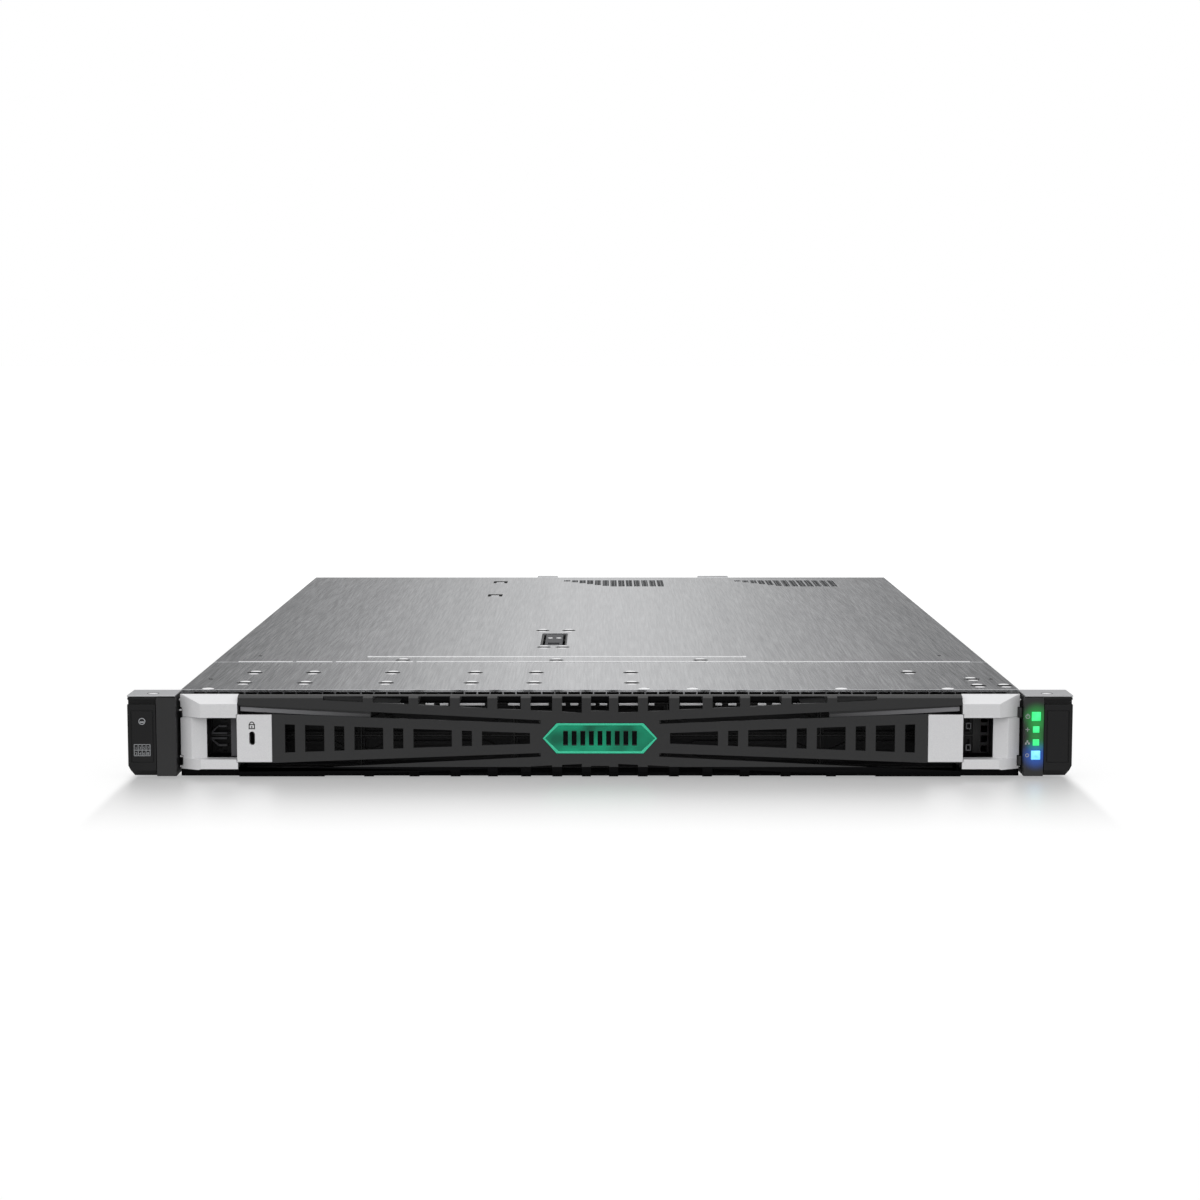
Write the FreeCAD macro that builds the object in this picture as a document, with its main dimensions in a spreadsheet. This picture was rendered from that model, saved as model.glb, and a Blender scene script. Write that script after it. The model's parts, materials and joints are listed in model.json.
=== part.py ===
import FreeCAD, Part
import os
import Sketcher
from FreeCAD import Rotation, Vector

# A 1U rack server as an assembly. Millimetres. +X is the viewer's right at the front,
# the front faces -Y and +Z is up. The origin is the middle of the bounding box's bottom.

doc = FreeCAD.newDocument("RackServer")
sheet = doc.addObject("Spreadsheet::Sheet", "Sizes")

driving = {
    # the whole machine
    "rackWidth": 482.6,        # over the ears, the 19 inch rack standard
    "bodyWidth": 434.6,        # over the hood's side flanges
    "bodyTall": 43.0,          # underside to hood top
    "coverLength": 602.8,      # front edge of the top panel to rear edge of the hood
    "faceStep": 22.0,          # bezel face ahead of the top panel
    "rearReach": 26.0,         # supply handles behind the hood
    "sheetWall": 1.2,          # tray and bracket steel
    "coverWall": 1.0,          # hood and top panel steel
    "seatGap": 0.3,            # between neighbours that only stand side by side
    # top panel and hood
    "panelLength": 107.5,
    "seamGap": 1.5,
    "flangeDrop": 8.0,
    "hoodTravel": 12.0,
    "lipDrop": 3.2,            # the top panel's vented front lip
    "lipPitch": 6.7,
    "lipRib": 0.8,
    "lanceWide": 5.4,
    "lanceLong": 2.2,
    "lanceRise": 0.35,
    "beadWide": 1.2,
    "ventPitch": 5.8,
    "ventSlot": 4.6,
    "ventLong": 48.0,
    "ventShort": 4.0,
    # hood latch
    "latchX": -27.7,
    "latchStart": 185.0,       # behind the top panel's front edge
    "latchLong": 60.0,
    "latchWide": 15.6,
    "latchDeep": 12.0,
    "latchWall": 1.2,
    "latchPin": 1.2,           # radius of its pin
    "latchPlay": 1.4,          # beside the lever
    # bezel
    "bezelHalf": 215.0,
    "bezelBase": 0.7,
    "bezelTop": 42.9,
    "bezelWall": 2.2,
    "bezelGap": 2.0,           # bezel's back ahead of the top panel
    "bevelRun": 3.0,
    "bevelRise": 3.0,
    "bevelDrop": 1.2,
    "rimDepth": 5.5,
    "skirtDrop": 2.6,
    "skirtWall": 1.6,
    "barReach": 184.8,         # half length of the channel between the end brackets
    "midZ": 20.9,              # height of the grille's line of symmetry
    "barEnd": 17.1,            # bar's inner edge from midZ, at the ends
    "barMiddle": 9.4,          # and beside the insert
    "bandEnd": 12.6,           # band's edge from midZ, at the plates
    "bandMiddle": 7.5,
    "bandMiddleX": 30.3,
    "bandEndX": 166.2,
    "windowStart": 160.8,
    "windowNarrow": 5.1,
    "windowGrow": 4.9,
    "windowBar": 5.15,
    "windowInnerX": 35.8,
    "windowEndTall": 14.6,
    "windowMiddleTall": 5.6,
    "topWindowStart": 141.2,
    "topWindowZ": 42.4,
    "topWindowSill": 4.8,      # above the bar's inner edge
    "topWindowBar": 5.0,
    "middleWindowHalf": 4.6,
    "stripDrop": 3.5,          # glossy strip under the bar
    "stripEndX": 117.0,
    "stripTall": 6.0,
    "stripWall": 1.8,
    "gripInner": 185.7,        # finger opening
    "gripOuter": 201.7,
    "gripLow": 10.0,
    "gripHigh": 31.4,
    "bracketDepth": 7.0,
    "facetX": 203.9,
    "facetRun": 6.0,
    "webX": 209.0,
    "webBack": 3.6,
    "armBevelDrop": 4.3,
    "armBevelRun": 5.5,
    "plateInner": 167.5,
    "plateOuter": 185.4,
    "plateTall": 24.6,
    "plateWall": 2.4,
    "lockX": 177.65,
    "lockSlotWide": 2.9,
    "lockSlotTall": 7.0,
    "lockRadius": 4.4,
    "camGap": 5.4,             # lock's cam ahead of the bezel's back
    "camWall": 1.6,
    "insertHalf": 29.2,
    "insertTall": 15.6,
    "insertWall": 2.0,
    "insertTaper": 7.0,
    "insertRim": 1.1,
    "insertSink": 0.5,         # its field behind its rim
    "insertSlotPitch": 4.4,
    "insertSlotWide": 2.4,
    "insertSlotTall": 7.6,
    "insetPlay": 0.15,         # round the insert, the plates and the buttons
    # rack ears
    "earTop": 43.4,
    "earBase": 1.4,
    "columnInner": 216.5,
    "columnOuter": 226.4,
    "leverInner": 226.7,
    "leverWall": 6.0,
    "leverPivotY": 6.0,
    "leverPivotZ": 7.4,
    "leverPinRadius": 1.25,
    "earFlangeWall": 2.0,
    "earHoleX": 232.55,        # half of 465.1, the rack's hole spacing
    "earHoleZ": 21.9,
    "earHoleRadius": 3.4,
    "buttonX": 222.6,
    "buttonWide": 4.6,
    "powerZ": 32.2,
    "unitZ": 12.2,
    "lensWide": 3.4,
    "healthZ": 25.5,
    "networkZ": 18.8,
    "buttonTravel": 1.0,
    "capLong": 4.6,
    "capEdge": 0.5,            # the skirt that keeps a button in
    "hingeX": 215.75,
    "hingeY": 6.0,
    "hingeRadius": 1.1,
    # drives
    "driveWide": 78.2,
    "driveTall": 15.4,
    "driveShift": -4.8,        # the drives sit to the left of the middle
    "driveLong": 104.0,
    "carrierFace": 8.0,
    "cageWall": 0.8,
    "cageLow": 1.5,
    "ventHolePitch": 5.2,
    # fans
    "fanSide": 40.0,
    "fanLong": 56.0,
    "fanPitch": 62.0,
    "fanStart": 124.0,
    "fanBore": 18.6,
    "bladeChord": 14.0,
    "bladeGap": 1.6,
    "bladeWall": 1.4,
    "bladePitch": 38.0,        # degrees
    "fanHub": 9.5,
    "shaftRadius": 1.5,
    "runGap": 0.1,
    # boards
    "boardZ": 6.0,
    "boardWall": 1.6,
    "boardStart": 190.0,
    "studRadius": 3.2,
    "studReach": 3.4,
    "studZ": 18.0,
    # processors and memory
    "cpuX": 92.0,
    "cpuStart": 272.0,
    "sinkWide": 78.0,
    "sinkLong": 108.0,
    "sinkTop": 34.0,
    "memoryStart": 258.0,
    "memoryLong": 133.4,
    "memoryTop": 39.2,
    "memoryPitch": 7.6,
    "finWall": 0.8,
    # rear
    "supplyWide": 85.0,
    "supplyTall": 39.0,
    "supplyLong": 190.0,
    "supplyOuter": 214.2,
    "supplySpace": 1.8,        # between the two supplies
    "handleBar": 6.0,
    "releaseInset": 6.5,       # release latch from the supply's inner side
    "releasePin": 1.2,
    "slotWide": 107.0,
    "slotTall": 17.6,
    "slotLow": 21.0,
}

for row, (alias, number) in enumerate(driving.items(), 1):
    sheet.set(f"A{row}", alias)
    sheet.set(f"B{row}", str(number))
    sheet.setAlias(f"B{row}", alias)
doc.recompute()


class Size:
    # a length that carries its own formula, so that it can be bound to the sheet

    def __init__(self, value, formula):
        self.value = value
        self.formula = formula

    def join(self, other, sign, value):
        return Size(value, f"({self.formula} {sign} {formulaOf(other)})")

    def __add__(self, other):
        return self.join(other, "+", self.value + float(other))

    def __sub__(self, other):
        return self.join(other, "-", self.value - float(other))

    def __mul__(self, other):
        return self.join(other, "*", self.value * float(other))

    def __truediv__(self, other):
        return self.join(other, "/", self.value / float(other))

    def __radd__(self, other):
        return asSize(other) + self

    def __rsub__(self, other):
        return asSize(other) - self

    def __rmul__(self, other):
        return self * other

    def __neg__(self):
        return Size(-self.value, f"(0 - {self.formula})")

    def __float__(self):
        return float(self.value)


def formulaOf(length):
    return length.formula if isinstance(length, Size) else f"({float(length)!r})"


def asSize(length):
    return length if isinstance(length, Size) else Size(float(length), formulaOf(length))


class Sizes:
    # s.bodyWidth is the sheet's bodyWidth
    def __getattr__(self, alias):
        return Size(driving[alias], "Sizes." + alias)


s = Sizes()

past = 1.0            # how far a cutting tool runs beyond the piece it cuts

# shared places
faceY = -(s.faceStep + s.coverLength + s.rearReach) / 2
frontY = faceY + s.faceStep
rearY = frontY + s.coverLength
halfBody = s.bodyWidth / 2
halfRack = s.rackWidth / 2
sideX = halfBody - s.coverWall - s.seatGap          # outside of the tray's side walls
trayY = frontY + s.coverWall + s.seatGap            # the tray starts behind the panel's lip
coverLow = s.bodyTall - s.coverWall
wallTop = coverLow - s.seatGap
hoodY = frontY + s.panelLength + s.seamGap
floorTop = s.sheetWall
bezelBackY = frontY - s.bezelGap
bezelDepth = s.faceStep - s.bezelGap

subParts = {}
axes = {"x": Vector(1, 0, 0), "y": Vector(0, 1, 0), "z": Vector(0, 0, 1)}
turns = {"x": Rotation(Vector(0, 1, 0), 90), "y": Rotation(Vector(1, 0, 0), -90), "z": Rotation()}


def bind(item, prop, length):
    item.setExpression(prop, formulaOf(length))


def place(item, x, y, z):
    for letter, length in zip("xyz", (x, y, z)):
        bind(item, "Placement.Base." + letter, length)
    return item


def block(x, y, z, name="Block"):
    # x, y and z are (low, high) pairs
    item = doc.addObject("Part::Box", name)
    for prop, (low, high) in zip(("Length", "Width", "Height"), (x, y, z)):
        bind(item, prop, asSize(high) - low)
    return place(item, x[0], y[0], z[0])


def rod(axis, radius, span, centre, name="Rod"):
    # a cylinder along an axis; centre holds the two other coordinates in X, Y, Z order
    item = doc.addObject("Part::Cylinder", name)
    item.Placement.Rotation = turns[axis]
    bind(item, "Radius", radius)
    bind(item, "Height", asSize(span[1]) - span[0])
    spot = list(centre)
    spot.insert("xyz".index(axis), span[0])
    return place(item, *spot)


def prism(axis, sides, radius, span, centre, name="Prism"):
    # a regular many-sided post along an axis; radius is to its corners
    item = doc.addObject("Part::Prism", name)
    item.Polygon = sides
    item.Placement.Rotation = turns[axis]
    bind(item, "Circumradius", radius)
    bind(item, "Height", asSize(span[1]) - span[0])
    spot = list(centre)
    spot.insert("xyz".index(axis), span[0])
    return place(item, *spot)


def fuse(pieces, name="Joined"):
    item = doc.addObject("Part::MultiFuse", name)
    item.Shapes = pieces
    item.Refine = True
    return item


def group(pieces, name="Group"):
    item = doc.addObject("Part::Compound", name)
    item.Links = pieces
    return item


def cut(base, tools, name="Opened"):
    item = doc.addObject("Part::Cut", name)
    item.Base = base
    item.Tool = tools[0] if len(tools) == 1 else group(tools, "Tools")
    return item


def mirror(source, name="Mirrored"):
    # the same piece on the other side of the middle plane
    item = doc.addObject("Part::Mirroring", name)
    item.Source = source
    item.Normal = axes["x"]
    return item


def moved(source, dx, dy=0, dz=0, name="Copy"):
    # the same piece, shifted
    item = doc.addObject("Part::Compound", name)
    item.Links = [source]
    return place(item, dx, dy, dz)


def subPart(label, item):
    item.Label = label
    subParts[label] = item
    return item


def originPlane(body, role):
    return next(plane for plane in body.Origin.OriginFeatures if plane.Role == role)


def drawing(body, role, loops, offset=0, name="Outline"):
    # a sketch of closed outlines; every corner is held at its own place
    sketch = body.newObject("Sketcher::SketchObject", name)
    sketch.AttachmentSupport = [(originPlane(body, role), "")]
    sketch.MapMode = "FlatFace"
    bind(sketch, "AttachmentOffset.Base.z", offset)
    for loop in loops:
        first = sketch.GeometryCount
        corners = [Vector(float(u), float(v), 0) for u, v in loop]
        count = len(corners)
        lines = [Part.LineSegment(corners[i], corners[(i + 1) % count]) for i in range(count)]
        sketch.addGeometry(lines, False)
        for i in range(count):
            follower = first + (i + 1) % count
            sketch.addConstraint(Sketcher.Constraint("Coincident", first + i, 2, follower, 1))
        for i, (u, v) in enumerate(loop):
            for kind, length in (("DistanceX", u), ("DistanceY", v)):
                held = Sketcher.Constraint(kind, -1, 1, first + i, 1, float(length))
                number = sketch.addConstraint(held)
                bind(sketch, f"Constraints[{number}]", length)
    return sketch


def pad(body, sketch, length, name="Pad"):
    feature = body.newObject("PartDesign::Pad", name)
    feature.Profile = sketch
    bind(feature, "Length", length)
    sketch.Visibility = False
    return feature


def pocket(body, sketch, length, name="Pocket"):
    # cuts along the sketch plane's normal
    feature = body.newObject("PartDesign::Pocket", name)
    feature.Profile = sketch
    feature.Reversed = True
    bind(feature, "Length", length)
    return feature


def newBody(name):
    return doc.addObject("PartDesign::Body", name)


def rectangle(u, v):
    return [(u[0], v[0]), (u[1], v[0]), (u[1], v[1]), (u[0], v[1])]


def flipped(loop):
    # the outline's mirror image, wound the same way round
    return [(-asSize(u), v) for u, v in reversed(loop)]


def both(loops):
    return loops + [flipped(loop) for loop in loops]


# chassis

supplySeat = floorTop + s.seatGap
supplyX = [-s.supplyOuter, -s.supplyOuter + s.supplyWide + s.supplySpace]
supplyEnd = supplyX[1] + s.supplyWide
supplyTopZ = supplySeat + s.supplyTall
slotX = [-30.0, 90.0]
socketX = {"management": -27.0, "display": -5.0, "usbLeft": 34.0, "usbRight": 54.0}
jackWide, jackTall = 15.6, 13.2
displayWide, displayTall = 30.8, 10.0
usbWide, usbTall = 14.5, 7.2
jackLow = s.boardZ + s.boardWall
networkX = [100.0, 118.0, 136.0, 154.0]
wallRearY = rearY - s.sheetWall
standoffX = (-150, 0, 150)
standoffDepths = (205, 395)       # these and other depths start at the top panel's front edge
standoffRadius = 3.2
studDepths = (60, 300, 560)


def chassisTray():
    body = newBody("Tray")
    outline = [
        (-sideX, 0), (sideX, 0), (sideX, wallTop), (sideX - s.sheetWall, wallTop),
        (sideX - s.sheetWall, floorTop), (s.sheetWall - sideX, floorTop),
        (s.sheetWall - sideX, wallTop), (-sideX, wallTop),
    ]
    section = drawing(body, "XZ_Plane", [outline], -rearY)
    pad(body, section, rearY - trayY)
    tray = [body]
    inner = (supplyEnd + s.seatGap, supplyEnd + s.seatGap + s.sheetWall)
    bayY = rearY - s.supplyLong
    tray.append(block(inner, (bayY, wallRearY), (0, wallTop), "BayWall"))
    for x in standoffX:
        for depth in standoffDepths:
            tray.append(prism("z", 6, standoffRadius, (0, s.boardZ), (x, frontY + depth), "Standoff"))
    subPart("chassis_tray", fuse(tray, "ChassisTray"))


def rearPanel():
    inside = sideX - s.sheetWall
    panel = block((-inside, inside), (wallRearY, rearY), (floorTop, wallTop), "PanelSheet")
    through = (wallRearY - past, rearY + past)
    holes = []
    for x in supplyX:
        slot = (x - s.seatGap, x + s.supplyWide + s.seatGap)
        holes.append(block(slot, through, (floorTop - past, supplyTopZ + s.seatGap), "SupplyWindow"))
    rim = 2.0
    for x in slotX:
        slot = (x + rim, x + s.slotWide - rim)
        tall = (s.slotLow + rim, s.slotLow + s.slotTall - rim)
        holes.append(block(slot, through, tall, "SlotWindow"))
    for x, wide, tall in rearSockets():
        slot = (x - s.seatGap, x + wide + s.seatGap)
        high = (jackLow - s.seatGap, jackLow + tall + s.seatGap)
        holes.append(block(slot, through, high, "SocketWindow"))
    subPart("rear_panel", cut(panel, holes, "RearPanel"))


def rearSockets():
    # left edge, width and height of each socket in the rear wall
    sockets = [(socketX["management"], jackWide, jackTall), (socketX["display"], displayWide, displayTall)]
    sockets += [(socketX[which], usbWide, usbTall) for which in ("usbLeft", "usbRight")]
    return sockets + [(x, jackWide, jackTall) for x in networkX]


def sideStuds():
    studs = []
    for depth in studDepths:
        stud = rod("x", s.studRadius, (sideX, sideX + s.studReach), (frontY + depth, s.studZ), "Stud")
        studs += [stud, mirror(stud)]
    subPart("side_studs", group(studs, "SideStuds"))


# top panel and hood


lanceColumns = (-188, -156, -113, -68, -34.8, 16.8)
panelLances = [(x, depth) for depth in (64.5, 24.5) for x in lanceColumns]
panelLances += [(168.2, 65.6), (198.6, 39.0), (198.4, 14.0), (208.9, 39.0)]
hoodLances = [(x, 117.0) for x in (-111.6, -24.7, 56.9)]
beadX, beadDepth = (-131.8, 82.4), 131.5
rearTabs = ((-47.8, -32.4), (74.9, 98.0))
tabLong, tabRise = 11.0, 0.3
ventLefts = (-27.0, 101.3)
ventSlots, ventEnd = 13, 582
clipX, clipLong = (-79.2, -69.7), 6.0
clipDepths = (465, 560)
throughHood = (coverLow - past, s.bodyTall + past)


def lance(x, depth):
    # a half-shear that stands a little above the sheet
    spanX = (x - s.lanceWide / 2, x + s.lanceWide / 2)
    spanY = (frontY + depth - s.lanceLong / 2, frontY + depth + s.lanceLong / 2)
    return block(spanX, spanY, (s.bodyTall - s.coverWall / 2, s.bodyTall + s.lanceRise), "Lance")


def flangedSheet(start, end, name):
    # a sheet with turned-down side flanges
    body = newBody(name)
    flangeZ = s.bodyTall - s.flangeDrop
    outline = [
        (-halfBody, flangeZ), (s.coverWall - halfBody, flangeZ), (s.coverWall - halfBody, coverLow),
        (halfBody - s.coverWall, coverLow), (halfBody - s.coverWall, flangeZ), (halfBody, flangeZ),
        (halfBody, s.bodyTall), (-halfBody, s.bodyTall),
    ]
    pad(body, drawing(body, "XZ_Plane", [outline], -end), end - start)
    return body


def frontTopPanel():
    pieces = [flangedSheet(frontY, frontY + s.panelLength, "TopPanel")]
    lip = (-halfBody, halfBody)
    pieces.append(block(lip, (frontY, frontY + s.coverWall), (coverLow - s.lipDrop, coverLow), "Lip"))
    pieces += [lance(x, depth) for x, depth in panelLances]
    slots = []
    count = int(driving["bodyWidth"] / driving["lipPitch"]) - 1
    through = (frontY - past, frontY + s.coverWall + past)
    tall = (coverLow - s.lipDrop - past, coverLow - 0.4)
    for i in range(count):
        left = (i - count / 2) * s.lipPitch + s.lipRib / 2
        slots.append(block((left, left + s.lipPitch - s.lipRib), through, tall, "LipSlot"))
    subPart("front_top_panel", cut(fuse(pieces), slots, "FrontTopPanel"))


def ventRow(left):
    # a row of slots in the hood whose rear edges line up while their fronts step forward
    slots = []
    rearEdge = frontY + ventEnd
    for i in range(ventSlots):
        grown = min(1.0, (i + 1) / (ventSlots / 2))
        long = s.ventShort + (s.ventLong - s.ventShort) * grown
        x = left + i * s.ventPitch
        slots.append(block((x, x + s.ventSlot), (rearEdge - long, rearEdge), throughHood, "VentSlot"))
    return slots


def latchSpan():
    return (s.latchX - s.latchWide / 2, s.latchX + s.latchWide / 2)


def hood():
    # the top sheet, and a flange under each side edge
    pieces = [block((-halfBody, halfBody), (hoodY, rearY), (coverLow, s.bodyTall), "HoodSheet")]
    pieces += [lance(x, depth) for x, depth in hoodLances]
    bead = (frontY + beadDepth, frontY + beadDepth + s.beadWide)
    pieces.append(block(beadX, bead, (coverLow, s.bodyTall + s.lanceRise), "Bead"))
    y = frontY + s.latchStart
    for aside in (-6, 8):
        pieces += [lance(s.latchX + aside, s.latchStart + along) for along in (-9, s.latchLong + 14)]
    tabY = (rearY - past, rearY + tabLong)
    pieces += [block(span, tabY, (coverLow, s.bodyTall + tabRise), "RearTab") for span in rearTabs]
    holes = [block(latchSpan(), (y, y + s.latchLong), throughHood, "LatchHole")]
    for left in ventLefts:
        holes += ventRow(left)
    for depth in clipDepths:
        holes.append(block(clipX, (frontY + depth, frontY + depth + clipLong), throughHood, "ClipSlot"))
    top = cut(fuse(pieces), holes, "HoodTop")
    drop = (s.bodyTall - s.flangeDrop, coverLow)
    flange = block((halfBody - s.coverWall, halfBody), (hoodY, rearY), drop, "HoodFlange")
    subPart("hood", group([top, flange, mirror(flange)], "Hood"))


def hoodLatch():
    x = latchSpan()
    y = (frontY + s.latchStart, frontY + s.latchStart + s.latchLong)
    z = (coverLow - s.latchDeep, coverLow)
    wall = s.latchWall
    tub = block(x, y, z, "Tub")
    hollow = block((x[0] + wall, x[1] - wall), (y[0] + wall, y[1] - wall), (z[0] + wall, z[1] + past))
    rimWide = 2.0
    rimX = (x[0] - rimWide, x[1] + rimWide)
    rim = block(rimX, (y[0] - rimWide, y[1] + rimWide), (z[1] - s.coverWall, z[1]), "Rim")
    pivot = (y[1] - 6.0, z[1] - 3.6)
    pin = rod("x", s.latchPin, (x[0] + wall / 2, x[1] - wall / 2), pivot, "LatchPin")
    base = fuse([cut(fuse([tub, rim]), [hollow]), pin])
    subPart("hood_latch_tub", base)
    body = newBody("LatchLever")
    top = s.bodyTall - 0.2
    front = y[0] + wall + 1.2
    back = y[1] - wall - s.latchPlay
    # thin at the finger end, with a heel round the pin
    outline = [
        (front, top - 1.6), (front + 0.8, top - 1.6), (front + 2.0, top - 2.4), (y[1] - 12, top - 2.4),
        (y[1] - 9.5, pivot[1] - 2.6), (y[1] - 3.5, pivot[1] - 2.6), (back, pivot[1] - 0.6),
        (back, top - 2.0), (back - 2.2, top), (front, top),
    ]
    profile = drawing(body, "YZ_Plane", [outline], x[0] + wall + s.latchPlay)
    pad(body, profile, s.latchWide - 2 * (wall + s.latchPlay))
    bore = rod("x", s.latchPin + s.runGap, x, pivot, "LatchBore")
    dishX = (x[0] + wall + 3.2, x[1] - wall - 3.2)
    finger = block(dishX, (front + 3, front + 12), (top - 1.0, top + past), "FingerDish")
    subPart("hood_latch_lever", cut(body, [bore, finger], "HoodLatchLever"))


# bezel


def barEdge(x):
    # distance of the outer bar's inner edge from the line of symmetry
    slope = (s.barEnd - s.barMiddle) / (s.barReach - s.bandMiddleX)
    return s.barMiddle + slope * (x - s.bandMiddleX)


def bandEdge(x):
    slope = (s.bandEnd - s.bandMiddle) / (s.bandEndX - s.bandMiddleX)
    return s.bandMiddle + slope * (x - s.bandMiddleX)


def gapOutline(side):
    # the dark line between a bar and the band; side is 1 above and -1 below
    plateEdge = s.plateTall / 2 + 0.3
    return [
        (s.bandMiddleX, s.midZ + side * bandEdge(s.bandMiddleX)),
        (s.bandEndX, s.midZ + side * bandEdge(s.bandEndX)),
        (s.bandEndX + 0.4, s.midZ + side * plateEdge),
        (s.barReach - 0.4, s.midZ + side * plateEdge),
        (s.barReach - 0.4, s.midZ + side * barEdge(s.barReach)),
        (s.bandMiddleX, s.midZ + side * barEdge(s.bandMiddleX)),
    ]


def bandWindows():
    windows = []
    left = s.windowStart
    slope = (s.windowEndTall - s.windowMiddleTall) / (2 * (s.windowStart - s.windowInnerX))
    for step in range(2, 6):
        for wide in (s.windowNarrow, s.windowGrow * step):
            right = left - wide
            high = [s.windowMiddleTall / 2 + slope * (x - s.windowInnerX) for x in (left, right)]
            windows.append([
                (left, s.midZ - high[0]), (left, s.midZ + high[0]),
                (right, s.midZ + high[1]), (right, s.midZ - high[1]),
            ])
            left = right - s.windowBar
    return windows


def barWindows():
    # widths of the slots in the outer bars, from the ends towards the middle
    widths = (20.3, 18.3, 16.1, 14.1, 12.0, 11.0, 10.1)
    windows = []
    left = s.topWindowStart
    for wide in widths:
        right = left - wide
        sills = [s.midZ + barEdge(x) + s.topWindowSill for x in (left, right)]
        windows.append([(left, sills[0]), (left, s.topWindowZ), (right, s.topWindowZ), (right, sills[1])])
        left = right - s.topWindowBar
    return windows


def lowered(loop):
    # the same outline in the lower bar
    return [(x, 2 * s.midZ - z) for x, z in reversed(loop)]


def cutInto(body, loops, depth, name):
    # a pocket from the bezel's face, depth deep
    pocket(body, drawing(body, "XZ_Plane", loops, -(faceY + depth)), depth + past, name)


def cutThrough(body, loops, depth, name):
    # the same, clean through a wall that ends at that depth
    cutInto(body, loops, depth + past / 10, name)


def bezelFrame():
    body = newBody("BezelChannel")
    low = s.bezelBase
    skirtTop = s.bezelTop - s.skirtDrop
    y = faceY
    back = bezelBackY
    section = [
        (y, low + s.bevelRise), (y + s.bevelRun, low), (back, low), (back, low + s.skirtWall),
        (y + s.bezelWall, low + s.skirtWall), (y + s.bezelWall, skirtTop - s.skirtWall),
        (back, skirtTop - s.skirtWall), (back, skirtTop), (y + s.rimDepth, skirtTop),
        (y + s.rimDepth, s.bezelTop), (y + s.bevelRun, s.bezelTop), (y, s.bezelTop - s.bevelDrop),
    ]
    pad(body, drawing(body, "YZ_Plane", [section], -s.barReach), 2 * s.barReach)
    gaps = both([gapOutline(1), gapOutline(-1)])
    cutThrough(body, gaps, s.bezelWall, "Gaps")
    cutThrough(body, both(bandWindows()), s.bezelWall, "BandWindows")
    upper = barWindows()
    middleX = (-s.middleWindowHalf, s.middleWindowHalf)
    middle = rectangle(middleX, (s.midZ + s.barMiddle + s.topWindowSill, s.topWindowZ))
    cutThrough(body, both(upper) + [middle], bezelDepth, "TopWindows")
    cutInto(body, both([lowered(loop) for loop in upper]) + [lowered(middle)], s.rimDepth, "LowWindows")
    cutInto(body, [insertOutline(s.insetPlay)], s.insertWall, "InsertSeat")
    seat = fuse([body, insertBack()] + endPieces() + glossStrips(), "BezelSolid")
    grips = [grip(1), grip(-1)]
    plates = [plateSpace(1), plateSpace(-1)]
    lockY = (y + s.plateWall - past, back + past)
    lockHole = rod("y", s.lockRadius + s.runGap, lockY, (-s.lockX, s.midZ), "LockHole")
    subPart("bezel_frame", cut(seat, grips + plates + [lockHole], "BezelFrame"))


def insertBack():
    # floor under the insert, behind the front wall
    border = 2.0
    x = (-s.insertHalf - border, s.insertHalf + border)
    z = (s.midZ - s.insertTall / 2 - border / 2, s.midZ + s.insertTall / 2 + border / 2)
    return block(x, (faceY + s.insertWall, faceY + 2 * s.insertWall), z, "InsertBack")


def side(span, sign):
    # an (inner, outer) pair of distances from the middle, on one side
    return (span[0], span[1]) if sign > 0 else (-span[1], -span[0])


lugSpans = ((6.0, 11.0), (31.0, 36.0))


def endPieces():
    # the blocks that carry the silver brackets and plates
    pieces = []
    skirtTop = s.bezelTop - s.skirtDrop
    for sign in (1, -1):
        x = side((s.gripInner - 2.5, s.bezelHalf - 0.8), sign)
        y = (faceY + s.bracketDepth, bezelBackY)
        pieces.append(block(x, y, (s.bezelBase + 0.8, skirtTop), "EndBlock"))
        x = side((s.plateInner - 2, s.gripInner - 0.3), sign)
        z = (s.midZ - s.plateTall / 2, s.midZ + s.plateTall / 2)
        pieces.append(block(x, (faceY + s.bezelWall - 1, faceY + 12), z, "PlateBack"))
    for z in lugSpans:
        lug = rod("z", s.hingeRadius, z, (s.hingeX, faceY + s.hingeY), "HingeLug")
        behind = faceY + s.bracketDepth
        arm = block((s.bezelHalf - 4, s.hingeX), (behind, behind + 3), z, "LugArm")
        neck = block((s.bezelHalf - 0.9, s.hingeX), (faceY + s.hingeY - 0.6, behind + 1), z, "LugNeck")
        pieces += [lug, arm, neck]
    return pieces


stripBack = 1.6


def glossStrips():
    # a rail behind the bar's inner edge that shows in the upper gap
    strips = []
    for sign in (1, -1):
        body = newBody("GlossStrip")
        ends = (s.stripEndX, s.barReach - 1)
        low = [s.midZ + barEdge(x) - s.stripDrop for x in ends]
        high = [z + s.stripTall for z in low]
        outline = [(ends[0], low[0]), (ends[1], low[1]), (ends[1], high[1]), (ends[0], high[0])]
        if sign < 0:
            outline = flipped(outline)
        pad(body, drawing(body, "XZ_Plane", [outline], -(faceY + s.bezelWall + stripBack)), s.stripWall)
        strips.append(body)
    return strips


def grip(sign):
    x = side((s.gripInner, s.gripOuter), sign)
    return block(x, (faceY - past, bezelBackY + past), (s.gripLow, s.gripHigh), "Grip")


def plateSpace(sign):
    x = side((s.plateInner - s.insetPlay, s.plateOuter + s.insetPlay), sign)
    half = s.plateTall / 2 + s.insetPlay
    return block(x, (faceY - past, faceY + s.plateWall), (s.midZ - half, s.midZ + half), "PlateSpace")


def insertOutline(grow):
    half = s.insertHalf + grow
    tall = s.insertTall / 2 + grow
    tip = half - s.insertTaper
    return [
        (-half, s.midZ), (-tip, s.midZ - tall), (tip, s.midZ - tall),
        (half, s.midZ), (tip, s.midZ + tall), (-tip, s.midZ + tall),
    ]


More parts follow.
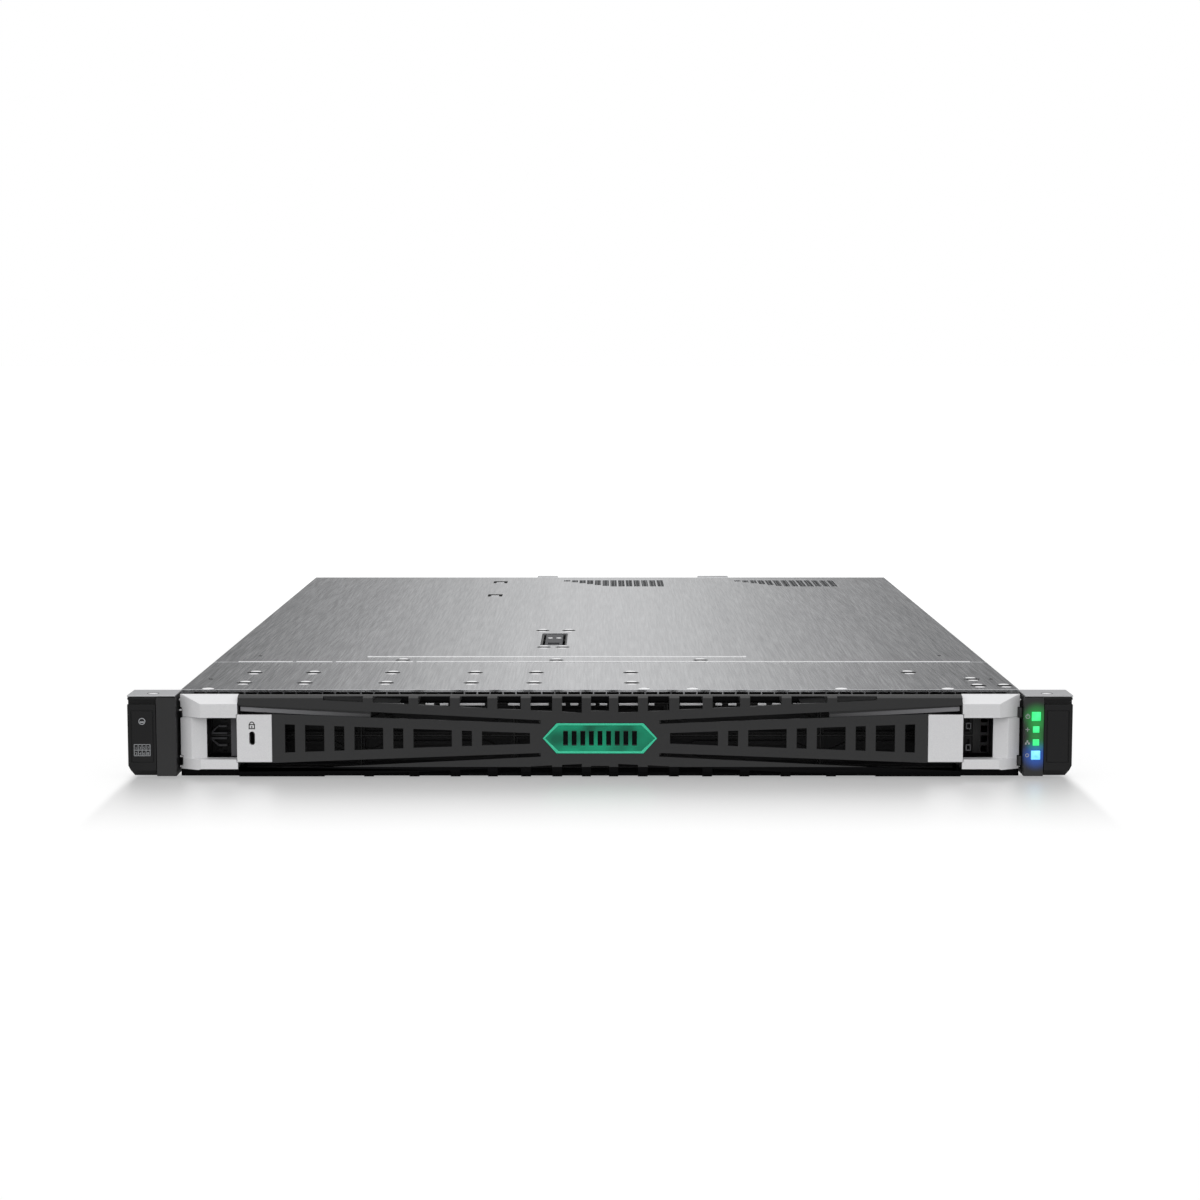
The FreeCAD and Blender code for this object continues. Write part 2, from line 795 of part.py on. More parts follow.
def bezelInsert():
    # a six-sided insert with a raised rim and a row of upright slots
    body = newBody("InsertBody")
    pad(body, drawing(body, "XZ_Plane", [insertOutline(0)], -(faceY + s.insertWall)), s.insertWall)
    cutInto(body, [insertOutline(-s.insertRim)], s.insertSink, "Field")
    slots = []
    half = s.insertSlotWide / 2
    tall = (s.midZ - s.insertSlotTall / 2, s.midZ + s.insertSlotTall / 2)
    for step in range(-4, 5):
        x = step * s.insertSlotPitch
        slots.append(rectangle((x - half, x + half), tall))
    cutThrough(body, slots, s.insertWall, "Slots")
    subPart("bezel_insert", body)


def silverBracket():
    body = newBody("BracketBody")
    outer = s.bezelHalf
    inner = s.barReach + 0.2
    y = faceY
    back = y + s.bracketDepth
    plan = [(inner, y), (s.facetX, y), (outer, y + s.facetRun), (outer, back), (inner, back)]
    pad(body, drawing(body, "XY_Plane", [plan], s.bezelBase), s.bezelTop - s.bezelBase, "Blank")
    ahead = y - past
    drop = s.armBevelDrop + past * s.armBevelDrop / s.armBevelRun
    top = [(ahead, s.bezelTop - drop), (y + s.armBevelRun, s.bezelTop), (ahead, s.bezelTop + past)]
    pocket(body, drawing(body, "YZ_Plane", [top], inner - past), outer - inner + 2 * past, "TopBevel")
    low = [(ahead, s.bezelBase + drop), (ahead, s.bezelBase - past), (y + s.armBevelRun, s.bezelBase)]
    pocket(body, drawing(body, "YZ_Plane", [low], inner - past), outer - inner + 2 * past, "LowBevel")
    scoop = [
        (inner - past, ahead), (outer + past, ahead), (outer + past, y + s.facetRun),
        (outer, y + s.facetRun), (s.webX, y + s.webBack), (s.gripOuter, back - 0.2),
        (s.gripOuter, back + past), (inner - past, back + past),
    ]
    pocket(body, drawing(body, "XY_Plane", [scoop], s.gripLow), s.gripHigh - s.gripLow, "Scoop")
    lugX = (outer - 1.2, outer + past)
    spaces = [rectangle(lugX, (low - s.seatGap, high + s.seatGap)) for low, high in lugSpans]
    cutThrough(body, spaces, s.bracketDepth, "LugSpaces")
    half = s.plateTall / 2 + 0.1
    notch = rectangle((inner - past, s.plateOuter + s.seatGap), (s.midZ - half, s.midZ + half))
    cutThrough(body, [notch], s.bracketDepth, "PlateNotch")
    subPart("bezel_bracket_right", body)
    subPart("bezel_bracket_left", mirror(body, "BezelBracketLeft"))


def silverPlates():
    z = (s.midZ - s.plateTall / 2, s.midZ + s.plateTall / 2)
    y = (faceY, faceY + s.plateWall)
    plate = block((s.plateInner, s.plateOuter), y, z, "PlateRight")
    subPart("bezel_plate_right", plate)
    blank = block((-s.plateOuter, -s.plateInner), y, z, "PlateBlank")
    x = (-s.lockX - s.lockSlotWide / 2, -s.lockX + s.lockSlotWide / 2)
    straight = (s.lockSlotTall - s.lockSlotWide) / 2
    through = (faceY - past, faceY + s.plateWall + past)
    slot = [block(x, through, (s.midZ - straight, s.midZ + straight))]
    for sign in (-1, 1):
        end = (-s.lockX, s.midZ + sign * straight)
        slot.append(rod("y", s.lockSlotWide / 2, through, end))
    subPart("bezel_plate_left", cut(blank, [fuse(slot)], "BezelPlateLeft"))


def lockBarrel():
    start = faceY + s.plateWall + 0.1
    camY = (bezelBackY - s.camGap - s.camWall, bezelBackY - s.camGap)
    barrel = rod("y", s.lockRadius, (start, camY[0]), (-s.lockX, s.midZ), "Barrel")
    keyHalf, keyTall, keyDeep = 0.9, 2.9, 6.0
    keyX = (-s.lockX - keyHalf, -s.lockX + keyHalf)
    keyway = block(keyX, (start - past, start + keyDeep), (s.midZ - keyTall, s.midZ + keyTall), "Keyway")
    camHalf, camHang = 3.0, 10.0
    cam = block((-s.lockX - camHalf, -s.lockX + camHalf), camY, (s.midZ - camHang, s.midZ + 2), "Cam")
    subPart("lock_barrel", fuse([cut(barrel, [keyway]), cam], "LockBarrel"))


# rack ears

earBackY = frontY - s.seatGap - 0.7


def earBracket():
    flange = (earBackY - s.earFlangeWall, earBackY)
    x = (s.columnInner + 0.2, halfRack)
    pieces = [block(x, flange, (s.earBase, s.earTop), "EarFlange")]
    roof = (s.earTop - s.sheetWall, s.earTop)
    pieces.append(block(x, (faceY + 1.0, earBackY), roof, "EarRoof"))
    pieces.append(block((sideX, sideX + s.sheetWall), (flange[0], frontY + 48), (4.0, 33.0), "EarSide"))
    holeY = (flange[0] - past, earBackY + past)
    hole = rod("y", s.earHoleRadius, holeY, (s.earHoleX, s.earHoleZ), "RackHole")
    right = subPart("ear_bracket_right", cut(fuse(pieces), [hole], "EarBracketRight"))
    subPart("ear_bracket_left", mirror(right, "EarBracketLeft"))


def earColumn(name):
    low = s.earBase
    top = s.earTop - s.sheetWall - s.seatGap
    x = (s.columnInner, s.columnOuter)
    y = (faceY, earBackY - s.earFlangeWall - 0.1)
    shellBlock = block(x, y, (low, top), "Column")
    wall = 1.6
    inside = (x[0] + wall, x[1] - 0.7)
    hollow = block(inside, (faceY + s.bezelWall, y[1] + past), (low + wall, top - wall), "ColumnHollow")
    return cut(shellBlock, [hollow], name)


def leverBearing():
    # boss in the column that holds the lever's pin
    spot = (faceY + s.leverPivotY, s.leverPivotZ)
    return rod("x", s.leverPinRadius + 0.6, (s.columnInner + 3, s.columnOuter), spot, "PinBoss")


def earCovers():
    spot = (faceY + s.leverPivotY, s.leverPivotZ)
    pinHole = rod("x", s.leverPinRadius, (s.columnInner + 4, halfRack), spot, "PinHole")
    groove = rod("z", s.hingeRadius + 0.25, (0, 40), (s.hingeX, faceY + s.hingeY), "HingeGroove")
    right = cut(fuse([earColumn("ColumnRight"), leverBearing()]), [pinHole, groove], "CoverRight")
    windows = []
    spots = [(z, s.buttonWide / 2 + s.insetPlay) for z in (s.powerZ, s.unitZ)]
    spots += [(z, s.lensWide / 2) for z in (s.healthZ, s.networkZ)]
    through = (faceY - past, faceY + s.bezelWall + past)
    for z, half in spots:
        windows.append(block((s.buttonX - half, s.buttonX + half), through, (z - half, z + half), "Window"))
    subPart("ear_cover_right", cut(right, windows, "EarCoverRight"))
    plain = cut(fuse([earColumn("ColumnLeft"), leverBearing()]), [pinHole], "CoverLeft")
    subPart("ear_cover_left", mirror(plain, "EarCoverLeft"))


def earLevers():
    body = newBody("LeverBody")
    y = faceY
    low = s.earBase
    top = s.earTop - s.sheetWall - s.seatGap
    back = y + s.leverWall
    outline = [
        (y, low + 3.0), (y + 3.0, low), (back + 2, low), (back + 5.5, low + 3), (back + 5.5, low + 8),
        (back, low + 13), (back, top - 10), (back + 8, top - 10), (back + 9.5, top - 7), (back, top - 4),
        (back, top), (y + 0.8, top), (y + 0.8, top - 1.2), (y + 2.8, top - 1.2),
        (y + 2.8, top - 3.5), (y, top - 3.5),
    ]
    pad(body, drawing(body, "YZ_Plane", [outline], s.leverInner), halfRack - 0.2 - s.leverInner)
    frameX = (s.leverInner + 1.2, halfRack - 1.9)
    frameZ = (low + 6.8, top - 6.7)
    line, lineDeep = 0.45, 0.4
    outer = rectangle(frameX, frameZ)
    inner = rectangle((frameX[0] + line, frameX[1] - line), (frameZ[0] + line, frameZ[1] - line))
    cutInto(body, [outer, inner], lineDeep, "PanelLine")
    spot = (faceY + s.leverPivotY, s.leverPivotZ)
    boreX = (s.leverInner - past, s.leverInner + 10.5)
    bore = rod("x", s.leverPinRadius + s.runGap, boreX, spot, "LeverBore")
    right = subPart("ear_lever_right", cut(body, [bore], "EarLeverRight"))
    subPart("ear_lever_left", mirror(right, "EarLeverLeft"))
    pin = rod("x", s.leverPinRadius, (s.columnInner + 4, s.leverInner + 10), spot, "LeverPin")
    subPart("lever_pins", group([pin, mirror(pin)], "LeverPins"))


def buttons():
    for label, z in (("power_button", s.powerZ), ("unit_button", s.unitZ)):
        half = s.buttonWide / 2
        x = (s.buttonX - half, s.buttonX + half)
        back = faceY + s.capLong
        cap = block(x, (faceY, back), (z - half, z + half), "Cap")
        skirtZ = (z - half - s.capEdge, z + half + s.capEdge)
        skirtX = (x[0] - s.capEdge, x[1] + s.capEdge)
        skirt = block(skirtX, (faceY + s.bezelWall + s.seatGap, back), skirtZ, "Skirt")
        subPart(label, fuse([cap, skirt], label.title().replace("_", "")))
    lenses = []
    for z in (s.healthZ, s.networkZ):
        half = s.lensWide / 2
        x = (s.buttonX - half, s.buttonX + half)
        lenses.append(block(x, (faceY, faceY + 5.0), (z - half, z + half), "Lens"))
    subPart("status_lenses", group(lenses, "StatusLenses"))
    x = (s.columnInner + 1.9, s.columnOuter - 1.0)
    boardY = faceY + s.capLong + s.buttonTravel + 0.4
    y = (boardY, boardY + s.boardWall)
    board = block(x, y, (s.earBase + 9.5, s.earTop - 4), "FrontBoard")
    subPart("front_panel_board", board)


# drives

columnPitch = s.driveWide + s.cageWall + 2 * s.seatGap
rowPitch = s.driveTall + s.cageWall + 2 * s.seatGap
cageHalf = 2.5 * columnPitch + s.cageWall / 2
cageX = (s.driveShift - cageHalf, s.driveShift + cageHalf)
cageY = frontY + 1.5
cageEndY = cageY + s.driveLong + 4
cageTop = s.cageLow + 2 * rowPitch + s.cageWall


def driveCage():
    # three level sheets with dividers between them, and a flange to each side wall
    level = [s.cageLow + row * rowPitch for row in range(3)]
    depth = (cageY, cageEndY)
    pieces = [block(cageX, depth, (low, low + s.cageWall), "CageSheet") for low in level]
    for column in range(6):
        left = cageX[0] + column * columnPitch
        for low in level[:2]:
            high = (low + s.cageWall, low + rowPitch)
            pieces.append(block((left, left + s.cageWall), depth, high, "CageDivider"))
    wallX = sideX - s.sheetWall - s.seatGap
    flangeY = (cageY, cageY + s.sheetWall)
    tall = (s.cageLow, cageTop)
    pieces.append(block((-wallX, cageX[0]), flangeY, tall, "FlangeLeft"))
    holes = []
    holeWide, holeTall, border = 3.4, 3.6, 3.2
    for column in range(2):
        left = cageX[1] + holeWide + column * 5.0
        for row in range(6):
            low = s.cageLow + border + row * s.ventHolePitch
            through = (cageY - past, flangeY[1] + past)
            holes.append(block((left, left + holeWide), through, (low, low + holeTall), "VentHole"))
    pieces.append(cut(block((cageX[1], wallX), flangeY, tall, "FlangeRight"), holes, "VentFlange"))
    subPart("drive_cage", group(pieces, "DriveCage"))


def carrierMaster():
    # one carrier at the cage's first bay: body, bordered face, chevron lever and button
    left = cageX[0] + s.cageWall + s.seatGap
    low = s.cageLow + s.cageWall + s.seatGap
    x = (left, left + s.driveWide)
    y = (cageY + 0.5, cageY + 0.5 + s.driveLong)
    z = (low, low + s.driveTall)
    middle = (z[0] + z[1]) / 2
    border, wellDeep, inset = 1.2, 3.0, 3.0
    face = block(x, (y[0], y[0] + s.carrierFace), z, "CarrierFace")
    wellX = (x[0] + border, x[1] - border)
    well = block(wellX, (y[0] - past, y[0] + wellDeep), (z[0] + border, z[1] - border), "CarrierWell")
    driveX = (x[0] + inset, x[1] - inset)
    drive = block(driveX, (y[0] + s.carrierFace, y[1]), (z[0] + border, z[1] - border), "Drive")
    rails = []
    railZ = (z[0] + inset, z[1] - inset)
    for start in (x[0] + inset - 1.1, x[1] - inset - 0.1):
        rails.append(block((start, start + border), (y[0] + 5, y[1] - 6), railZ, "Rail"))
    body = newBody("Chevron")
    shapes = [chevron(x, z, inset, 14, 2.6), chevron(x, z, inset + 3.5, 15, 4.6)]
    pad(body, drawing(body, "XZ_Plane", shapes, -(y[0] + 3.2)), 2.0)
    buttonY = (y[0] + 1.4, y[0] + 3.2)
    button = block((x[0] + 9, x[0] + 15), buttonY, (middle - 1.8, middle + 1.8), "CarrierButton")
    return fuse([cut(face, [well]), drive, body, button] + rails, "CarrierMaster")


def chevron(x, z, tip, reach, drop):
    # a long outline with a point at each end
    middle = (z[0] + z[1]) / 2
    return [
        (x[0] + tip, middle), (x[0] + reach, z[0] + drop), (x[1] - reach, z[0] + drop),
        (x[1] - tip, middle), (x[1] - reach, z[1] - drop), (x[0] + reach, z[1] - drop),
    ]


def driveCarriers():
    master = carrierMaster()
    number = 0
    for row in range(2):
        for column in range(5):
            number += 1
            if number == 1:
                subPart("drive_carrier_1", master)
            else:
                copy = moved(master, column * columnPitch, 0, row * rowPitch, f"Carrier{number}")
                subPart(f"drive_carrier_{number}", copy)


def driveBackplane():
    y = (cageEndY + s.seatGap, cageEndY + s.seatGap + s.boardWall)
    board = block(cageX, y, (floorTop + s.seatGap, cageTop), "BackplaneBoard")
    vents = []
    for column in range(5):
        left = cageX[0] + column * columnPitch + 18
        vents.append(block((left, left + 42), (y[0] - past, y[1] + past), (14.5, 22.5), "AirSlot"))
    subPart("drive_backplane", cut(board, vents, "DriveBackplane"))


# fans

fanY = frontY + s.fanStart
fanLow = floorTop + s.seatGap
fanZ = fanLow + s.fanSide / 2
fanSides = 16                     # ducts and hubs are many-sided, to keep their meshes light
strutHalf = 1.4
bladeCount = 5


def fanX(number):
    return (number - 2.5) * s.fanPitch


def fanHousings():
    housings = []
    for number in range(6):
        x = fanX(number)
        half = s.fanSide / 2
        centre = (x, fanZ)
        tall = (fanLow, fanLow + s.fanSide)
        frame = block((x - half, x + half), (fanY, fanY + s.fanLong), tall, "FanFrame")
        duct = prism("y", fanSides, s.fanBore, (fanY - past, fanY + s.fanLong + past), centre, "Duct")
        boss = prism("y", fanSides, s.fanHub, (fanY + 34, fanY + 46), centre, "Stator")
        span = (x - half + 0.5, x + half - 0.5)
        strut = block(span, (fanY + 36, fanY + 44), (fanZ - strutHalf, fanZ + strutHalf), "Strut")
        bore = rod("y", s.shaftRadius + s.runGap, (fanY + 30, fanY + 44), centre, "ShaftBore")
        housings.append(cut(fuse([cut(frame, [duct]), boss, strut]), [bore], "FanHousing"))
    subPart("fan_housings", group(housings, "FanHousings"))


def rotorMaster():
    x = fanX(0)
    centre = (x, fanZ)
    hub = prism("y", fanSides, s.fanHub, (fanY + 8, fanY + 33), centre, "Hub")
    shaft = rod("y", s.shaftRadius, (fanY + 20, fanY + 43), centre, "Shaft")
    blades = []
    root = s.fanHub - 1.5             # blades start inside the hub
    for blade in range(bladeCount):
        item = doc.addObject("Part::Box", "Blade")
        bind(item, "Length", s.fanBore - s.bladeGap - root)
        bind(item, "Width", s.bladeChord)
        bind(item, "Height", s.bladeWall)
        pitch = Rotation(axes["x"], float(s.bladePitch))
        item.Placement.Rotation = Rotation(axes["y"], -360 / bladeCount * blade).multiply(pitch)
        out = item.Placement.Rotation.multVec(Vector(1, 0, 0))
        run = item.Placement.Rotation.multVec(Vector(0, 1, 0))
        spot = (
            x + root * out.x - s.bladeChord / 2 * run.x,
            fanY + 20.5 + root * out.y - s.bladeChord / 2 * run.y,
            fanZ + root * out.z - s.bladeChord / 2 * run.z,
        )
        blades.append(place(item, *spot))
    return fuse([hub, shaft] + blades, "RotorMaster")


def fanRotors():
    master = subPart("fan_rotor_1", rotorMaster())
    for number in range(1, 6):
        subPart(f"fan_rotor_{number + 1}", moved(master, number * s.fanPitch, name=f"Rotor{number + 1}"))


# system board and what stands on it

boardTop = s.boardZ + s.boardWall


def systemBoard():
    body = newBody("Board")
    half = sideX - s.sheetWall - 1.5
    front = frontY + s.boardStart
    notchY = rearY - s.supplyLong - 12
    notchX = supplyEnd + s.seatGap + s.sheetWall + 1.0
    outline = [
        (-half, front), (half, front), (half, wallRearY - 1), (notchX, wallRearY - 1),
        (notchX, notchY), (-half, notchY),
    ]
    pad(body, drawing(body, "XY_Plane", [outline], s.boardZ), s.boardWall)
    subPart("system_board", body)


def heatsinks():
    body = newBody("SinkBody")
    y = frontY + s.cpuStart
    x = s.cpuX - s.sinkWide / 2
    base = boardTop + 5.0
    socket = rectangle((x + 9, x + s.sinkWide - 9), (y + 24, y + 84))
    pad(body, drawing(body, "XY_Plane", [socket], boardTop), base - boardTop + 1, "Socket")
    plate = rectangle((x, x + s.sinkWide), (y, y + s.sinkLong))
    pad(body, drawing(body, "XY_Plane", [plate], base), 3.5, "BasePlate")
    border = 1.0
    fin = rectangle((x + border, x + border + s.finWall), (y, y + s.sinkLong))
    first = pad(body, drawing(body, "XY_Plane", [fin], base + 3), s.sinkTop - base - 3, "Fin")
    fins = body.newObject("PartDesign::LinearPattern", "Fins")
    fins.Originals = [first]
    fins.Direction = (originPlane(body, "X_Axis"), [""])
    fins.Occurrences = 20
    bind(fins, "Length", s.sinkWide - s.finWall - 2 * border)
    body.Tip = fins
    subPart("heatsink_right", body)
    subPart("heatsink_left", mirror(body, "HeatsinkLeft"))


def memoryModules():
    modules = []
    banks = [s.cpuX + s.sinkWide / 2 + 5, s.cpuX - s.sinkWide / 2 - 5 - 3 * s.memoryPitch]
    y = frontY + s.memoryStart
    for bank in banks:
        for i in range(4):
            x = bank + i * s.memoryPitch
            socketY = (y - 4, y + s.memoryLong + 4)
            socket = block((x - 2.6, x + 2.6), socketY, (boardTop, boardTop + 6.0), "Socket")
            card = block((x - 0.65, x + 0.65), (y, y + s.memoryLong), (boardTop + 2, s.memoryTop), "Card")
            modules.append(fuse([socket, card], "Module"))
    modules += [mirror(module) for module in list(modules)]
    subPart("memory_modules", group(modules, "MemoryModules"))


def airBaffle():
    y = (frontY + s.boardStart + 4, frontY + s.memoryStart + s.memoryLong + 4)
    half = 168.0
    z = (s.memoryTop + 0.7, s.memoryTop + 1.7)
    pieces = [block((-half, half), y, z, "BaffleRoof")]
    for sign in (1, -1):
        pieces.append(block(side((half - 1.2, half), sign), y, (boardTop + s.seatGap, z[1]), "BaffleSide"))
    x = latchSpan()
    holeEnd = frontY + s.latchStart + s.latchLong + s.hoodTravel + 3
    hole = block((x[0] - 3, x[1] + 3), (y[0] - past, holeEnd), (0, s.bodyTall), "LatchRoom")
    subPart("air_baffle", cut(fuse(pieces), [hole], "AirBaffle"))


# rear


def powerBackplane():
    y = rearY - s.supplyLong - 1.0
    x = (-sideX + s.sheetWall + 1, supplyEnd)
    board = block(x, (y - 5.0, y - 3.4), (floorTop + s.seatGap, 36), "PowerBoard")
    sockets = [block((left + 14, left + 68), (y - 3.4, y), (8, 20), "PowerSocket") for left in supplyX]
    subPart("power_backplane", fuse([board] + sockets, "PowerBackplane"))


def supplyMaster():
    x = supplyX[0]
    y = (rearY - s.supplyLong, rearY)
    z = (supplySeat, supplyTopZ)
    case = block((x, x + s.supplyWide), y, z, "SupplyCase")
    outside = rearY + past
    inlet = block((x + 5, x + 32), (rearY - 18, outside), (z[0] + 8, z[0] + 28), "Inlet")
    grille = []
    grillePitch, grilleSlot, grilleDeep = 4.4, 3.0, 2.5
    for i in range(7):
        left = x + 41 + i * grillePitch
        deep = (rearY - grilleDeep, outside)
        grille.append(block((left, left + grilleSlot), deep, (z[0] + 4, z[1] - 4), "Grille"))
    pivot = releasePivot()
    recessX = (pivot[0] - 5, pivot[0] + 5)
    recess = block(recessX, (rearY - 10, outside), (z[0] + 8, z[0] + 30), "LatchRecess")
    pin = rod("z", s.releasePin, (z[0] + 7, z[0] + 31), pivot, "LatchPin")
    prongY = (rearY - 19, rearY - 8)
    middle = x + 18.5
    prongs = []
    for aside, low in ((-7, 13), (0, 19), (7, 13)):
        prongX = (middle + aside - 1, middle + aside + 1)
        prongs.append(block(prongX, prongY, (z[0] + low, z[0] + low + 4), "Prong"))
    opened = cut(case, [inlet, recess] + grille)
    return fuse([opened, pin] + prongs, "SupplyMaster")


def handleMaster():
    x = supplyX[0]
    low = supplySeat + 30.5
    reach = (rearY, rearY + s.rearReach)
    high = low + 5.0
    bar = block((x + 4, x + 36), (reach[1] - s.handleBar, reach[1]), (low, high), "HandleBar")
    arms = [block((a, a + 5), reach, (low, high), "HandleArm") for a in (x + 4, x + 31)]
    return fuse([bar] + arms, "HandleMaster")


def releasePivot():
    return (supplyX[0] + s.supplyWide - s.releaseInset, rearY - 5)


def latchMaster():
    low = supplySeat + 8.4
    pivot = releasePivot()
    boss = rod("z", 3.2, (low, low + 21.2), pivot, "LatchBoss")
    half = 1.8
    tab = block((pivot[0] - half, pivot[0] + half), (pivot[1], rearY + 15), (low + 4, low + 17), "LatchTab")
    bore = rod("z", s.releasePin + s.runGap, (low - 1, low + 23), pivot, "LatchBore")
    return cut(fuse([boss, tab]), [bore], "LatchMaster")


def powerSupplies():
    step = supplyX[1] - supplyX[0]
    for label, master in (("power_supply", supplyMaster()), ("supply_handle", handleMaster()),
                          ("supply_latch", latchMaster())):
        subPart(label + "_1", master)
        subPart(label + "_2", moved(master, step, name=label.title().replace("_", "") + "2"))


def riserCage():
    cages = []
    for x in slotX:
        span = (x - 2.5, x + s.slotWide + 2.5)
        y = (rearY - 168, wallRearY - 1.3)
        top = s.slotLow + s.slotTall + 1.4
        inner = (span[0] + s.sheetWall, span[0] + 3)
        walls = [
            block((span[0], inner[0]), y, (boardTop, top), "RiserWall"),
            block(span, y, (top - s.sheetWall, top), "RiserRoof"),
            block(inner, (y[0] + 20, y[1] - 50), (boardTop, top - 1), "RiserBoard"),
        ]
        cages.append(fuse(walls, "RiserCage"))
    subPart("riser_cages", group(cages, "RiserCages"))


def slotBlanks():
    blanks = []
    for x in slotX:
        y = (wallRearY - 1.0, wallRearY)
        plate = block((x, x + s.slotWide), y, (s.slotLow, s.slotLow + s.slotTall), "BlankPlate")
        vents = []
        border, ventPitch, ventWide = 4.0, 7.8, 5.6
        tall = (s.slotLow + border, s.slotLow + s.slotTall - border)
        for i in range(12):
            left = x + 2 * border + i * ventPitch
            vents.append(block((left, left + ventWide), (y[0] - past, y[1] + past), tall, "BlankVent"))
        blanks.append(cut(plate, vents, "SlotBlank"))
    subPart("slot_blanks", group(blanks, "SlotBlanks"))


jackDeep, displayDeep = 16.0, 12.0
shellWall = 1.0


def socketShell(x, wide, tall, deep, wall):
    outer = block((x, x + wide), (rearY - deep, rearY), (jackLow, jackLow + tall), "SocketShell")
    inside = (x + wall, x + wide - wall)
    high = (jackLow + wall, jackLow + tall - wall)
    hollow = block(inside, (rearY - deep + 2.5, rearY + past), high, "SocketHollow")
    return cut(outer, [hollow], "Socket")


def rearConnectors():
    shells = []
    for x, wide, tall in rearSockets()[:4]:
        deep = displayDeep if wide == displayWide else jackDeep
        shells.append(socketShell(x, wide, tall, deep, shellWall))
    subPart("rear_connectors", group(shells, "RearConnectors"))


def networkModule():
    boardThick = 0.6
    board = block((94, 176), (rearY - 90, wallRearY - 1.5), (jackLow, jackLow + boardThick), "ModuleBoard")
    jacks = [socketShell(x, jackWide, jackTall, jackDeep, shellWall) for x in networkX]
    chip = block((120, 146), (rearY - 70, rearY - 44), (jackLow + boardThick, jackLow + 9), "ModuleSink")
    subPart("network_module", fuse([board, chip] + jacks, "NetworkModule"))


def check():
    doc.recompute()
    faults = [item.Name for item in doc.Objects if "Invalid" in item.State or "Error" in item.State]
    for label, item in subParts.items():
        shape = item.Shape
        if shape.isNull() or not shape.isValid() or not shape.Solids:
            faults.append(label)
    if faults:
        raise RuntimeError("failed: " + ", ".join(faults))


def save():
    os.makedirs("parts", exist_ok=True)
    for label, item in subParts.items():
        item.Shape.exportStep(f"parts/{label}.step")
    print(len(subParts), "sub-parts")


for make in (
    chassisTray, rearPanel, sideStuds, frontTopPanel, hood, hoodLatch, bezelFrame, bezelInsert,
    silverBracket, silverPlates, lockBarrel, earBracket, earCovers, earLevers, buttons, driveCage,
    driveCarriers, driveBackplane, fanHousings, fanRotors, systemBoard, heatsinks, memoryModules,
    airBaffle, powerBackplane, powerSupplies, riserCage, slotBlanks, rearConnectors, networkModule,
):
    make()
check()
save()
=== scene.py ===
import json
import math

import bmesh
import bpy
from mathutils import Matrix, Vector


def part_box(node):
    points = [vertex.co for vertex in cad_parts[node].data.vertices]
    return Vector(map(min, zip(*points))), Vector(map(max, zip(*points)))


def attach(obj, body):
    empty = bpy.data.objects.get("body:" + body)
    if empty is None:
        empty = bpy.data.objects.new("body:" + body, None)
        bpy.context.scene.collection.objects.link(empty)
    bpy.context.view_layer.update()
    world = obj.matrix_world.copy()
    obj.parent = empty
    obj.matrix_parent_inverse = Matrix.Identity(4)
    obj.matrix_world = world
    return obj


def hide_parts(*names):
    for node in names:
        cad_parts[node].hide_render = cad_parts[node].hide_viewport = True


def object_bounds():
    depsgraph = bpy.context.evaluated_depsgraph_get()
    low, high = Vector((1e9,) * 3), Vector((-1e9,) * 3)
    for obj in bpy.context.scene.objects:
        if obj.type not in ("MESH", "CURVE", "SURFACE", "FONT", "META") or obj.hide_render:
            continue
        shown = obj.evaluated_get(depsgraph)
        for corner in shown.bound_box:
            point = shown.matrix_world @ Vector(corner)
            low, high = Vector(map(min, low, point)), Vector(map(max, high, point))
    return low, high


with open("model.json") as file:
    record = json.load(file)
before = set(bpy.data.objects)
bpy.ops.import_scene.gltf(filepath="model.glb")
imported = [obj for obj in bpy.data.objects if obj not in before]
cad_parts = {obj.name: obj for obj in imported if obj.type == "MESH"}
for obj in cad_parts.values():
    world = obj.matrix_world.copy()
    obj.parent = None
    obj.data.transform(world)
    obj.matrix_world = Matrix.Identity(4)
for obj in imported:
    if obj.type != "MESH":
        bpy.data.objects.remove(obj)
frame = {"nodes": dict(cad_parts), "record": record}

# A 1U rack server. Lengths in the dictionaries are millimetres in the frame of the CAD.

mm = 0.001
cadLow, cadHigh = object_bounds()
nodes = frame["nodes"]
record = frame["record"]
bodyOf = {node: body for body, members in record["behaviour"]["bodies"].items() for node in members}
slotOf = {row["node"]: row["material_slot"] for row in record["subparts"]}


def cornersOf(node):
    low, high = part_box(node)
    return Vector(low) / mm, Vector(high) / mm


faceY = cadLow.y / mm                              # the bezel's and the ears' front
frontY = cornersOf("front_top_panel")[0].y
hoodY = cornersOf("hood")[0].y
rearY = cornersOf("rear_panel")[1].y
coverTop = 43.0
insertLow, insertHigh = cornersOf("bezel_insert")
midZ = (insertLow.z + insertHigh.z) / 2


def across(middle, half):
    return middle - half, middle + half


def shifted(base, pair):
    return base + pair[0], base + pair[1]


def hexColour(code):
    # sRGB hex to the linear values that a shader wants
    parts = [int(code[i:i + 2], 16) / 255 for i in (1, 3, 5)]
    return tuple(c / 12.92 if c <= 0.04045 else ((c + 0.055) / 1.055) ** 2.4 for c in parts) + (1.0,)


def addNode(tree, kind, values=None, links=None, **settings):
    # a node with its settings, its values and what feeds it; a colour mix's ends are sockets 6 and 7
    node = tree.nodes.new(kind)
    for name, value in settings.items():
        setattr(node, name, value)
    for name, value in (values or {}).items():
        node.inputs[name].default_value = value
    for name, socket in (links or {}).items():
        tree.links.new(socket, node.inputs[name])
    return node


